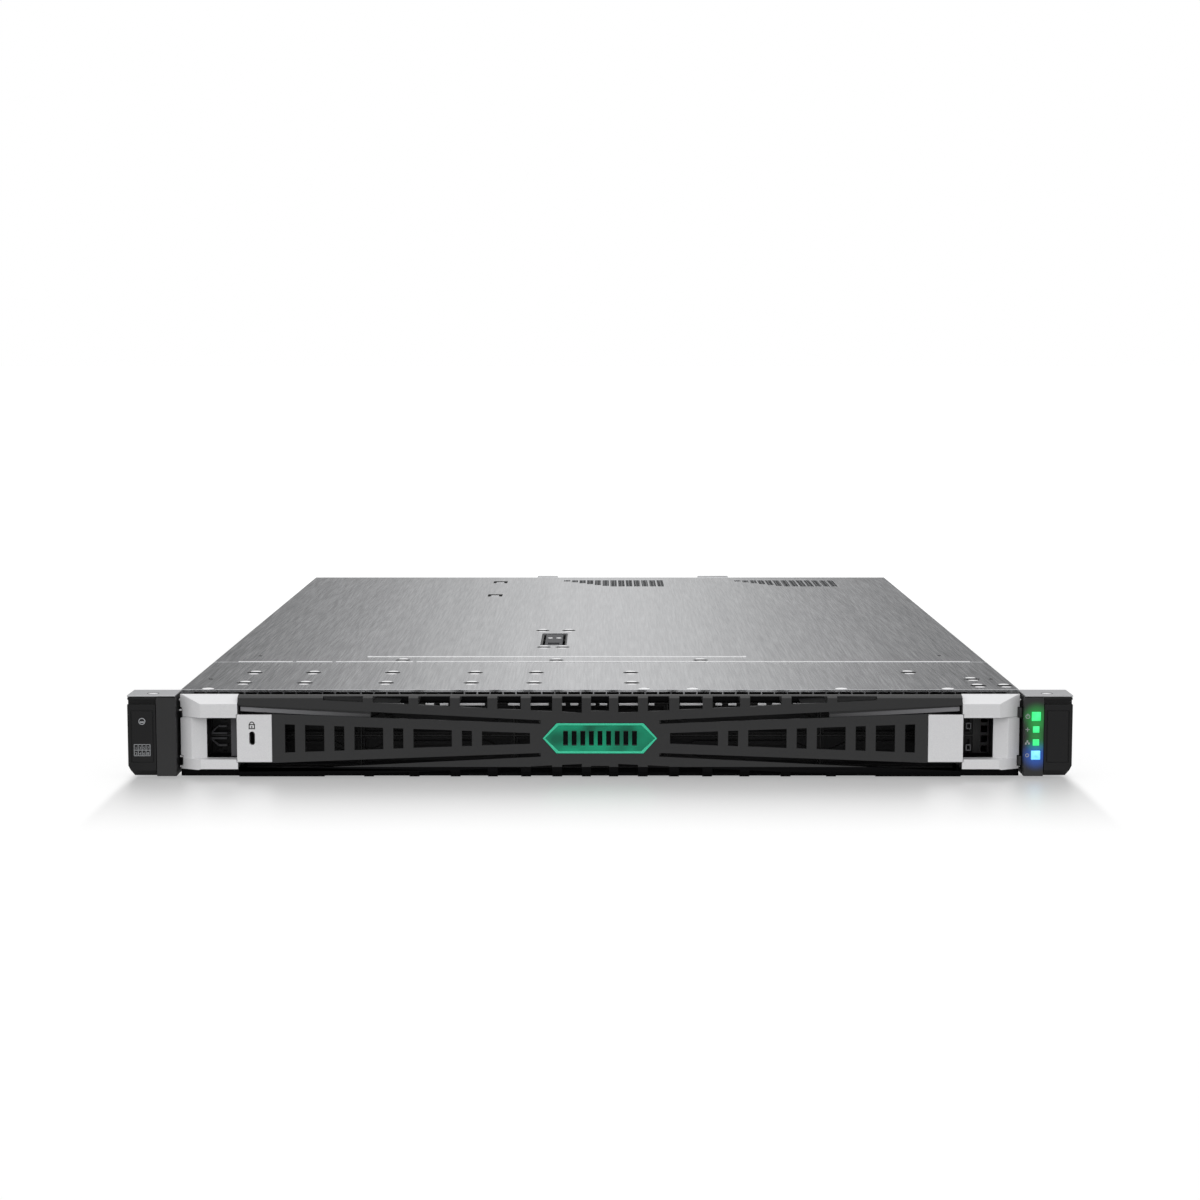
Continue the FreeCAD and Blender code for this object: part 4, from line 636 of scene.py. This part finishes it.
def behindTheBezel():
    # a black strip under the top panel's lip, with a piece of it in the lip's longest opening: painted shade
    shape = bmesh.new()
    addBlock(shape, (-lipShade["x"], lipShade["x"]), lipShade["y"], lipShade["z"], 0.3)
    addBlock(shape, lipBlank["x"], shifted(frontY, lipBlank["y"]), lipBlank["z"], 0.1)
    newPiece("lipPaintedShade", shape, bodyOf["front_top_panel"], "cover_steel", paintedShadeBlack)
    shape = bmesh.new()
    for span in tongues["spans"]:
        addBlock(shape, span, tongues["y"], tongues["z"], 0.2)
    newPiece("cageTongues", shape, bodyOf["drive_cage"], "cage_steel", paintedHighlightSteel)
    shape = bmesh.new()
    # the plate behind the insert's slots is black: painted shade
    addBlock(shape, across(0, insertBack["half"]), shifted(insertHigh.y, insertBack["y"]),
             shifted(midZ, insertBack["z"]), 0.0, 1)
    # the grip post in the mid-grey moulding: painted highlight
    addBlock(shape, gripPost["x"], shifted(faceY, gripPost["y"]), gripPost["z"], 0.3)
    newPiece("bezelBacks", shape, bodyOf["bezel_frame"], "black_plastic", ribHighlightAbs, paintedShadeBlack)


def railPaintedReflections():
    # the rail in the upper gap on each side, with a painted reflection along it
    shape = bmesh.new()
    y = shifted(faceY, strip["y"])
    inner, outer = strip["x"]
    low, high = strip["low"]
    z = (midZ + low, midZ + low + strip["tall"])
    addBlock(shape, (inner, outer), y, z, 0.12, 0, high - low)
    z = (midZ + high, midZ + high + strip["tall"])
    addBlock(shape, (-outer, -inner), y, z, 0.12, 0, low - high)
    newPiece("railPaintedReflections", shape, bodyOf["bezel_frame"], "black_plastic", railPaintedReflection)


jaws = {"tip": -203.7, "knee": -198.3, "end": -193.7, "y": (-303.3, -302.0), "mid": 18.7, "spread": 5.0,
        "tall": 1.1, "lips": 1.35, "lipTip": -202.2}
bayLabels = {"x": (190.3, 193.0), "y": (-302.1, -301.6), "tall": 3.3, "low": (10.6, 22.0), "line": 0.5}


def throughTheGrips():
    # the carrier's open jaws on the left, and bay labels on the right
    shape = bmesh.new()
    tall = jaws["tall"]
    for sign in (1, -1):
        z = across(jaws["mid"], tall / 2)
        addBlock(shape, (jaws["tip"], jaws["knee"]), jaws["y"], z, 0.2, 0, sign * jaws["spread"])
        for left, level in ((jaws["knee"], jaws["spread"]), (jaws["lipTip"], jaws["lips"])):
            addBlock(shape, (left, jaws["end"]), jaws["y"], across(jaws["mid"] + sign * level, tall / 2), 0.2)
    # the jaws in the mid-grey moulding: painted highlight
    newPiece("carrierJaws", shape, bodyOf["drive_carrier_1"], "drive_plastic", ribHighlightAbs)
    shape = bmesh.new()
    for low in bayLabels["low"]:
        z = (low, low + bayLabels["tall"])
        addOutline(shape, bayLabels["x"], bayLabels["y"], z, bayLabels["line"], 0.1)
    newPiece("bayLabels", shape, bodyOf["drive_carrier_5"], "drive_plastic", markInk)


padlock = {"x": -177.65, "z": 25.7, "half": 1.6, "tall": 2.6, "line": 0.5, "shackle": 1.1,
           "keyHalf": 0.3, "key": (0.7, 1.6)}
inkY = (faceY + 0.005, faceY + markBack + 0.03)      # printed marks, from and to


def addInkRing(shape, x, z, radius, line, sides, arc=360):
    addRing(shape, (x, sum(inkY) / 2, z), radius, line, inkY[1] - inkY[0], "Y", sides, 0, arc)


def padlockMark():
    # a plain padlock printed over the keyhole
    p = padlock
    shape = bmesh.new()
    z = (p["z"], p["z"] + p["tall"])
    addOutline(shape, across(p["x"], p["half"]), inkY, z, p["line"])
    addBlock(shape, across(p["x"], p["keyHalf"]), inkY, shifted(p["z"], p["key"]))
    addInkRing(shape, p["x"], z[1], p["shackle"], p["line"], 12, -180)
    newPiece("padlockMark", shape, bodyOf["bezel_plate_left"], "silver_plastic", padlockInk)


behindTheBezel()
railPaintedReflections()
throughTheGrips()
padlockMark()
print("bezel finished")


# ears

earMarks = {"lockX": -233.7, "ringZ": 29.7, "ring": 1.55, "ringLine": 0.4, "barHalf": 1.0, "barZ": (28.9, 29.7),
            "gridX": (-237.9, -229.8), "gridZ": (11.8, 17.6), "line": 0.3, "cells": 4, "digit": 1.5,
            "digitDrop": 2.3, "digitPitch": 2.9}
lampMarks = {"x": 218.2, "power": 32.2, "stem": 1.5, "health": 25.5, "network": 18.8,
             "dots": ((-0.8, -0.6), (0.8, -0.6), (0, 0.7)), "dotHalf": 0.4, "dotBar": (-0.1, 0.15),
             "unit": 12.2, "unitSize": 0.8, "size": 1.0, "line": 0.32}
roofMarks = {"x": 229.0, "y": 7.5, "halves": (2.6, 2.2, 0.34), "rim": (3.0, 0.3, 0.16)}
inkText = {"size": 1.35, "thick": 0.02, "ahead": 0.03}
gapHooks = {"x": (214.2, 215.7), "y": (6.4, 7.2), "z": (40.0, 34.6, 10.6, 5.4), "tall": 0.8}


def inkDigits(shape, rows, height):
    # plain numbers, each at its own (text, x, z) on the front
    for text, x, z in rows:
        curve = bpy.data.curves.new("digit", "FONT")
        curve.body = text
        curve.size = height * inkText["size"] * mm
        curve.align_x = "CENTER"
        curve.extrude = inkText["thick"] * mm
        item = bpy.data.objects.new("digit", curve)
        bpy.context.scene.collection.objects.link(item)
        bpy.context.view_layer.update()
        mesh = bpy.data.meshes.new_from_object(item.evaluated_get(bpy.context.evaluated_depsgraph_get()))
        spot = Matrix.Translation(Vector((x, faceY + inkText["ahead"], z)) * mm)
        mesh.transform(spot @ Matrix.Rotation(math.pi / 2, 4, "X"))
        shape.from_mesh(mesh)
        bpy.data.objects.remove(item)
        bpy.data.curves.remove(curve)
        bpy.data.meshes.remove(mesh)


def bayMap():
    # a plain sign and a numbered grid of the drive bays on the left lever
    e = earMarks
    shape = bmesh.new()
    addInkRing(shape, e["lockX"], e["ringZ"], e["ring"], e["ringLine"], 20)
    addBlock(shape, across(e["lockX"], e["barHalf"]), inkY, e["barZ"])
    low, high = e["gridZ"]
    for z in (low, (low + high) / 2, high):
        addBlock(shape, e["gridX"], inkY, (z, z + e["line"]))
    step = (e["gridX"][1] - e["gridX"][0]) / e["cells"]
    for i in range(e["cells"] + 1):
        addBlock(shape, across(e["gridX"][0] + i * step, e["line"] / 2), inkY, (low, high + e["line"]))
    rows = []
    for row in range(2):
        for i in range(e["cells"]):
            x = e["gridX"][0] + (i + 0.5) * step
            rows.append((str(row + 1 + 2 * i), x, high - e["digitDrop"] - row * e["digitPitch"]))
    inkDigits(shape, rows, e["digit"])
    newPiece("bayMap", shape, bodyOf["ear_lever_left"], "black_plastic", markInk)


def signsByLamps():
    # power, health, network and unit signs beside the four lamps
    m = lampMarks
    shape = bmesh.new()
    half, line = m["size"], m["line"]
    wide, thin = across(m["x"], half), across(m["x"], line / 2)
    addInkRing(shape, m["x"], m["power"], half, line, 16)
    addBlock(shape, thin, inkY, (m["power"], m["power"] + m["stem"]))
    addBlock(shape, wide, inkY, across(m["health"], line / 2))
    addBlock(shape, thin, inkY, across(m["health"], half))
    for dx, dz in m["dots"]:
        addBlock(shape, across(m["x"] + dx, m["dotHalf"]), inkY, across(m["network"] + dz, m["dotHalf"]))
    addBlock(shape, wide, inkY, shifted(m["network"], m["dotBar"]))
    addInkRing(shape, m["x"], m["unit"], m["unitSize"], line, 16)
    newPiece("lampMarks", shape, bodyOf["ear_cover_right"], "black_plastic", markInk)


def earDimples():
    # a dimple pressed in each ear's roof, drawn in near-white steel as a painted highlight, with painted shade
    # round its rim
    shape = bmesh.new()
    for sign in (-1, 1):
        spot = (sign * roofMarks["x"], faceY + roofMarks["y"], cadHigh.z / mm - roofDrop)
        addDome(shape, spot, roofMarks["halves"])
        addRing(shape, spot, *roofMarks["rim"], "Z", 20, 1)
    newPiece("earDimples", shape, bodyOf["ear_bracket_left"], "tray_steel", paleSteel, darkSteel)


def hooksInTheGaps():
    # the bezel's snap hooks, seen in the gaps beside the ears
    shape = bmesh.new()
    for sign in (-1, 1):
        x = sorted(sign * edge for edge in gapHooks["x"])
        for z in gapHooks["z"]:
            addBlock(shape, x, shifted(faceY, gapHooks["y"]), across(z, gapHooks["tall"] / 2), 0.15)
    newPiece("gapHooks", shape, bodyOf["bezel_frame"], "silver_plastic", finishes["silver_plastic"])


# the lamps' glow, painted on the lamp column and on the bracket beside it
paintedLampGlow = {
    # each lamp's height, colour, reach and strength
    "x": 222.6, "near": 1.5,
    "lamps": ((32.2, "#10c048", 9.0, 0.36), (25.5, "#10c048", 7.0, 0.24), (18.8, "#10c048", 7.0, 0.24),
              (12.2, "#1468e0", 9.5, 0.42)),
}


def paintedGlowCopy(base, name):
    # the same finish, with the lamps' light painted on it as a glow close round each lamp
    material = base.copy()
    material.name = name
    tree = material.node_tree
    shader = tree.nodes["Principled BSDF"]
    place = addNode(tree, "ShaderNodeTexCoord")
    total = None
    for height, code, reach, strength in paintedLampGlow["lamps"]:
        spot = Vector((paintedLampGlow["x"], faceY, height)) * mm
        gap = addNode(tree, "ShaderNodeVectorMath", {1: spot}, {0: place.outputs["Object"]},
                      operation="DISTANCE")
        fall = addNode(tree, "ShaderNodeMapRange",
                       {"From Min": paintedLampGlow["near"] * mm, "From Max": reach * mm,
                        "To Min": strength, "To Max": 0.0},
                       {"Value": gap.outputs["Value"]}, interpolation_type="SMOOTHERSTEP")
        tint = addNode(tree, "ShaderNodeVectorMath", {0: hexColour(code)[:3]},
                       {"Scale": fall.outputs["Result"]}, operation="SCALE")
        if total:
            tint = addNode(tree, "ShaderNodeVectorMath", None,
                           {0: total.outputs["Vector"], 1: tint.outputs["Vector"]}, operation="ADD")
        total = tint
    tree.links.new(total.outputs["Vector"], shader.inputs["Emission Color"])
    shader.inputs["Emission Strength"].default_value = 1.0
    return material


bayMap()
signsByLamps()
earDimples()
hooksInTheGaps()
for node, name in (("ear_cover_right", "mouldedAbsLampColumnPaintedGlow"),
                   ("bezel_bracket_right", "silverPaintedAbsPaintedGlow")):
    softPieces[node].data.materials[0] = paintedGlowCopy(finishes[slotOf[node]], name)
print("ears finished")


# rear

screws = {"radius": 2.9, "tall": 1.3, "bevel": 0.35, "slot": (1.5, 0.28), "slotDeep": 0.02}
panelScrews = ((-36.0, 38.4), (86.0, 40.3), (204.0, 40.0), (204.0, 5.0), (22.0, 5.2), (-36.0, 5.0), (88.0, 5.2))
jacks = {"left": (-27.0, 100.0, 118.0, 136.0, 154.0), "wide": 15.6, "contacts": 8, "pitch": 1.27,
         "contactHalf": 0.2, "contactY": (-9.5, -2.0), "contactZ": (17.2, 17.7),
         "lampX": 5.4, "lampHalf": 1.3, "lampY": (-0.9, -0.2), "lampZ": (8.8, 10.2)}
display = {"middle": 10.4, "half": 8.2, "y": (-7.5, -0.6), "z": (9.2, 16.0), "rows": 3, "columns": 5,
           "pitch": 2.6, "stagger": 0.65, "pinZ": 10.5, "rowPitch": 2.1, "pin": (0.5, 0.1), "pinY": -0.58,
           "nutX": 12.2, "nutZ": 12.6, "nut": (2.6, 3.4), "nutY": 1.4, "bore": (1.3, 0.04), "boreY": 3.12}
usb = {"left": (34.0, 54.0), "wide": 14.5, "edge": 1.6, "y": (-11.5, -0.7), "z": (11.5, 13.3),
       "contacts": 4, "pitch": 2.4, "contactHalf": 0.6, "contactY": (-9.0, -1.2), "contactZ": (11.42, 11.55)}
supplyFace = {"left": (-214.2, -127.4), "fanX": 56.0, "fanZ": 21.0, "rings": (4.2, 8.2, 12.2, 15.4),
              "wire": 0.9, "hub": 3.0, "y": 0.5, "spokeHalf": 0.5, "spokeY": (0.02, 0.6), "screw": 14,
              "lampX": 37.0, "lampZ": 27.0, "lampY": 0.3, "lamp": (1.2, 0.9), "lampRim": (1.6, 0.5, 0.8)}
thumbscrews = {"x": (-25.4, 72.4, 94.6, 192.4), "z": 29.8, "knob": (3.4, 3.2), "knobY": 1.6,
               "socket": (1.9, 0.3), "socketY": 3.3}


def addCross(shape, middle, axis):
    # a cross recess in a screw's head, drawn in black: painted shade
    x, y, z = middle
    deep = screws["slotDeep"]
    for long, short in (screws["slot"], screws["slot"][::-1]):
        if axis == "Y":
            addBlock(shape, across(x, long), across(y, deep), across(z, short), 0.0, 1)
        else:
            addBlock(shape, across(x, deep), across(y, long), across(z, short), 0.0, 1)


def addScrew(shape, x, z):
    # a pan head on the rear
    addRound(shape, (x, rearY + screws["tall"] / 2, z), screws["radius"], screws["tall"], "Y", 20,
             screws["bevel"])
    addCross(shape, (x, rearY + screws["tall"], z), "Y")


def rearScrews():
    shape = bmesh.new()
    for x, z in panelScrews:
        addScrew(shape, x, z)
    newPiece("rearScrews", shape, bodyOf["rear_panel"], "tray_steel", darkSteel, paintedShadeBlack)


def jackContacts():
    # eight gold contacts and two small lamps in each network jack
    j = jacks
    shape = bmesh.new()
    for left in j["left"]:
        middle = left + j["wide"] / 2
        for i in range(j["contacts"]):
            x = middle + (i - (j["contacts"] - 1) / 2) * j["pitch"]
            addBlock(shape, across(x, j["contactHalf"]), shifted(rearY, j["contactY"]), j["contactZ"])
        for side, paint in ((-1, 1), (1, 2)):
            addBlock(shape, across(middle + side * j["lampX"], j["lampHalf"]), shifted(rearY, j["lampY"]),
                     j["lampZ"], 0.2, paint)
    newPiece("jackContacts", shape, bodyOf["network_module"], "socket_steel", goldPlate, finishes["green_lens"],
             finishes["release_blue"])


def socketInsides():
    # the display socket's blue core with its pin holes and nuts, and the tongues of the two USB sockets; the
    # pin holes and bores are black discs, painted shade
    d = display
    shape = bmesh.new()
    addBlock(shape, across(d["middle"], d["half"]), shifted(rearY, d["y"]), d["z"], 0.8)
    for row in range(d["rows"]):
        for i in range(d["columns"]):
            x = d["middle"] + (i - 2) * d["pitch"] + (d["stagger"] if row % 2 else -d["stagger"])
            addRound(shape, (x, rearY + d["pinY"], d["pinZ"] + row * d["rowPitch"]), *d["pin"], "Y", 10, 0.0, 1)
    for side in (-1, 1):
        x = d["middle"] + side * d["nutX"]
        addRound(shape, (x, rearY + d["nutY"], d["nutZ"]), *d["nut"], "Y", 6, 0.25, 2)
        addRound(shape, (x, rearY + d["boreY"], d["nutZ"]), *d["bore"], "Y", 16, 0.0, 1)
    for left in usb["left"]:
        addBlock(shape, (left + usb["edge"], left + usb["wide"] - usb["edge"]), shifted(rearY, usb["y"]),
                 usb["z"], 0.25)
        for i in range(usb["contacts"]):
            x = left + usb["wide"] / 2 + (i - (usb["contacts"] - 1) / 2) * usb["pitch"]
            addBlock(shape, across(x, usb["contactHalf"]), shifted(rearY, usb["contactY"]), usb["contactZ"],
                     0.0, 3)
    newPiece("socketInsides", shape, bodyOf["rear_connectors"], "socket_steel", finishes["release_blue"],
             paintedShadeBlack, darkSteel, goldPlate)


def supplyFronts():
    # the wire guard over each supply's fan, and its lamp
    f = supplyFace
    for number, left in enumerate(f["left"], 1):
        body = bodyOf[f"power_supply_{number}"]
        shape = bmesh.new()
        x, y, z = left + f["fanX"], rearY + f["y"], f["fanZ"]
        for radius in f["rings"]:
            addRing(shape, (x, y, z), radius, f["wire"], f["wire"], "Y", 32)
        reach, half = f["rings"][-1], f["spokeHalf"]
        for wide, tall in ((reach, half), (half, reach)):
            addBlock(shape, across(x, wide), shifted(rearY, f["spokeY"]), across(z, tall), 0.15)
        addRound(shape, (x, y, z), f["hub"], f["wire"], "Y", 24, 0.2)
        for dx, dz in ((-1, -1), (1, -1), (-1, 1), (1, 1)):
            addScrew(shape, x + dx * f["screw"], z + dz * f["screw"])
        newPiece(f"supplyGuard{number}", shape, body, "supply_steel", darkSteel, paintedShadeBlack)
        shape = bmesh.new()
        spot = (left + f["lampX"], rearY + f["lampY"], f["lampZ"])
        addRound(shape, spot, *f["lamp"], "Y", 16, 0.2)
        addRing(shape, spot, *f["lampRim"], "Y", 20, 1)
        newPiece(f"supplyLamp{number}", shape, body, "green_lens", finishes["green_lens"], darkSteel)


def blankThumbscrews():
    # thumbscrews in near-white steel, their sockets black: painted shade
    t = thumbscrews
    shape = bmesh.new()
    for x in t["x"]:
        addRound(shape, (x, rearY + t["knobY"], t["z"]), *t["knob"], "Y", 24, 0.4)
        addRound(shape, (x, rearY + t["socketY"], t["z"]), *t["socket"], "Y", 6, 0.0, 1)
    newPiece("blankThumbscrews", shape, bodyOf["slot_blanks"], "tray_steel", paleSteel, paintedShadeBlack)


sideMarks = {"screws": ((24.0, 12.0), (140.0, 9.0), (268.0, 27.0), (410.0, 9.0), (585.0, 30.0)),
             "dimples": ((95.0, 27.0), (190.0, 27.0), (350.0, 14.0), (450.0, 27.0), (520.0, 14.0)),
             "holes": tuple((depth, z) for z in (10.0, 17.0) for depth in (228.0, 235.0, 242.0)),
             "wallX": 216.0, "head": (3.0, 0.7), "headX": 0.2, "crossX": 0.56, "dimple": (0.7, 3.4, 3.4),
             "hole": (2.0, 0.12)}


def sideDetails():
    # screws, pressed dimples and a small group of drilled holes on each side wall; the holes are black discs,
    # painted shade
    m = sideMarks
    shape = bmesh.new()
    for sign in (-1, 1):
        x = sign * m["wallX"]
        for depth, z in m["screws"]:
            addRound(shape, (x + sign * m["headX"], frontY + depth, z), *m["head"], "X", 20, 0.2)
            addCross(shape, (x + sign * m["crossX"], frontY + depth, z), "X")
        for depth, z in m["dimples"]:
            addDome(shape, (x, frontY + depth, z), m["dimple"])
        for depth, z in m["holes"]:
            addRound(shape, (x, frontY + depth, z), *m["hole"], "X", 16, 0.0, 1)
    newPiece("sideDetails", shape, bodyOf["chassis_tray"], "tray_steel", finishes["tray_steel"], paintedShadeBlack)


rearScrews()
jackContacts()
socketInsides()
supplyFronts()
blankThumbscrews()
sideDetails()
print("rear and sides finished")


# stage, lights and camera

camera = {"lens": 72.9, "sensor": 36.0, "distance": 1226.0, "height": 222.25, "pitch": 6.065}
lights = {
    # name: place, target, size and power; metres and watts
    "overhead": ((0, -0.1, 1.5), (0, 0, 0), (1.8, 1.1), 2),
    "front": ((0, -2.4, 1.3), (0, -0.3, 0.02), (3.0, 1.6), 6),
    "back": ((0, 1.6, 2.0), (0, 0.3, 0.02), (2.4, 1.4), 6),
}
floorLook = {"colour": "#7c7c7c", "glow": 0.76, "white": (300.0, 900.0), "mirrored": 0.4, "mirror": 0.5,
             "roughness": 0.38, "fadeX": (237.0, 244.0), "fadeY": (-480.0, -325.0), "under": (-320.0, -300.0)}
room = {
    # the panel behind: its brightness in the middle and aside, and the slopes between which it fades
    "bright": 0.8, "dim": 0.06, "narrow": 0.1, "wide": 1.15, "begins": (0.8, 0.95),
    # the walls from front to sides, and the ceiling
    "front": 1.05, "sides": 0.6, "turn": (-0.5, 0.3), "ceiling": 0.9, "rises": (0.4, 0.8),
}


def makeCamera():
    data = bpy.data.cameras.new("camera")
    data.lens = camera["lens"]
    data.sensor_width = camera["sensor"]
    data.clip_start = 0.05
    data.clip_end = 60.0
    item = bpy.data.objects.new("camera", data)
    item.location = (0, (faceY - camera["distance"]) * mm, camera["height"] * mm)
    item.rotation_euler = (math.radians(90 - camera["pitch"]), 0, 0)
    bpy.context.scene.collection.objects.link(item)
    bpy.context.scene.camera = item


def makeFloor():
    # a white table with a polished patch before the machine, whose mirror image fades forward
    shape = bmesh.new()
    bmesh.ops.create_grid(shape, x_segments=1, y_segments=1, size=20.0)
    mesh = bpy.data.meshes.new("floor")
    shape.to_mesh(mesh)
    shape.free()
    floor = bpy.data.objects.new("floor", mesh)
    bpy.context.scene.collection.objects.link(floor)
    f = floorLook
    material, tree, shader = newMaterial("paleTable", f["colour"], 0.6)
    path = addNode(tree, "ShaderNodeLightPath")
    place = addNode(tree, "ShaderNodeTexCoord")
    split = addNode(tree, "ShaderNodeSeparateXYZ", None, {0: place.outputs["Object"]})
    far = addNode(tree, "ShaderNodeMapRange",
                  {"From Min": f["white"][0] * mm, "From Max": f["white"][1] * mm,
                   "To Min": f["glow"], "To Max": 1.0},
                  {"Value": split.outputs["Y"]})
    eyes = addNode(tree, "ShaderNodeMath", {1: f["mirrored"]},
                   {0: path.outputs["Is Glossy Ray"], 2: path.outputs["Is Camera Ray"]},
                   operation="MULTIPLY_ADD")
    glow = addNode(tree, "ShaderNodeMath", None, {0: eyes.outputs[0], 1: far.outputs["Result"]},
                   operation="MULTIPLY")
    shader.inputs["Emission Color"].default_value = (1, 1, 1, 1)
    tree.links.new(glow.outputs[0], shader.inputs["Emission Strength"])
    aside = addNode(tree, "ShaderNodeMath", None, {0: split.outputs["X"]}, operation="ABSOLUTE")
    fadeX = addNode(tree, "ShaderNodeMapRange",
                    {"From Min": f["fadeX"][0] * mm, "From Max": f["fadeX"][1] * mm,
                     "To Min": 1.0, "To Max": 0.0},
                    {"Value": aside.outputs[0]}, interpolation_type="SMOOTHSTEP")
    fadeY = addNode(tree, "ShaderNodeMapRange",
                    {"From Min": f["fadeY"][0] * mm, "From Max": f["fadeY"][1] * mm, "To Max": f["mirror"]},
                    {"Value": split.outputs["Y"]}, interpolation_type="SMOOTHSTEP")
    under = addNode(tree, "ShaderNodeMapRange",
                    {"From Min": f["under"][0] * mm, "From Max": f["under"][1] * mm,
                     "To Min": 1.0, "To Max": 0.0},
                    {"Value": split.outputs["Y"]}, interpolation_type="SMOOTHSTEP")
    ahead = addNode(tree, "ShaderNodeMath", None, {0: fadeY.outputs["Result"], 1: under.outputs["Result"]},
                    operation="MULTIPLY")
    patch = addNode(tree, "ShaderNodeMath", None, {0: fadeX.outputs["Result"], 1: ahead.outputs[0]},
                    operation="MULTIPLY")
    mirror = addNode(tree, "ShaderNodeBsdfGlossy", {"Roughness": f["roughness"]})
    both = addNode(tree, "ShaderNodeMixShader", None,
                   {0: patch.outputs[0], 1: shader.outputs["BSDF"], 2: mirror.outputs["BSDF"]})
    tree.links.new(both.outputs["Shader"], tree.nodes["Material Output"].inputs["Surface"])
    floor.data.materials.append(material)


def makeLights():
    for name, (spot, target, size, power) in lights.items():
        data = bpy.data.lights.new(name, "AREA")
        data.shape = "RECTANGLE"
        data.size, data.size_y = size
        data.energy = power
        item = bpy.data.objects.new(name, data)
        item.location = spot
        item.rotation_euler = (Vector(target) - Vector(spot)).to_track_quat("-Z", "Y").to_euler()
        bpy.context.scene.collection.objects.link(item)


def makeRoom():
    # white to the camera. To the object: bright in front and above, softer at the sides, and behind it a
    # panel that fades to the sides, which the cover mirrors
    world = bpy.data.worlds.new("studio")
    world.use_nodes = True
    tree = world.node_tree
    background = tree.nodes["Background"]
    place = addNode(tree, "ShaderNodeTexCoord")
    split = addNode(tree, "ShaderNodeSeparateXYZ", None, {0: place.outputs["Generated"]})
    aside = addNode(tree, "ShaderNodeMath", None, {0: split.outputs["X"]}, operation="ABSOLUTE")
    up = addNode(tree, "ShaderNodeMath", {1: 0.02}, {0: split.outputs["Z"]}, operation="MAXIMUM")
    slope = addNode(tree, "ShaderNodeMath", None, {0: aside.outputs[0], 1: up.outputs[0]}, operation="DIVIDE")
    panel = addNode(tree, "ShaderNodeMapRange",
                    {"From Min": room["narrow"], "From Max": room["wide"],
                     "To Min": room["bright"], "To Max": room["dim"]},
                    {"Value": slope.outputs[0]}, interpolation_type="SMOOTHSTEP")
    walls = addNode(tree, "ShaderNodeMapRange",
                    {"From Min": room["turn"][0], "From Max": room["turn"][1],
                     "To Min": room["front"], "To Max": room["sides"]},
                    {"Value": split.outputs["Y"]})
    above = addNode(tree, "ShaderNodeMapRange", {"From Min": room["rises"][0], "From Max": room["rises"][1]},
                    {"Value": split.outputs["Z"]})
    even = addNode(tree, "ShaderNodeMix", {3: room["ceiling"]},
                   {0: above.outputs["Result"], 2: walls.outputs["Result"]})
    behind = addNode(tree, "ShaderNodeMapRange", {"From Min": room["begins"][0], "From Max": room["begins"][1]},
                     {"Value": split.outputs["Y"]})
    level = addNode(tree, "ShaderNodeMix", None,
                    {0: behind.outputs["Result"], 2: even.outputs[0], 3: panel.outputs["Result"]})
    path = addNode(tree, "ShaderNodeLightPath")
    seen = addNode(tree, "ShaderNodeMix", {3: 1.0}, {0: path.outputs["Is Camera Ray"], 2: level.outputs[0]})
    tree.links.new(seen.outputs[0], background.inputs["Strength"])
    background.inputs["Color"].default_value = (1, 1, 1, 1)
    bpy.context.scene.world = world


makeCamera()
makeFloor()
makeLights()
makeRoom()
bpy.context.scene.view_settings.view_transform = "Standard"
print("stage ready")
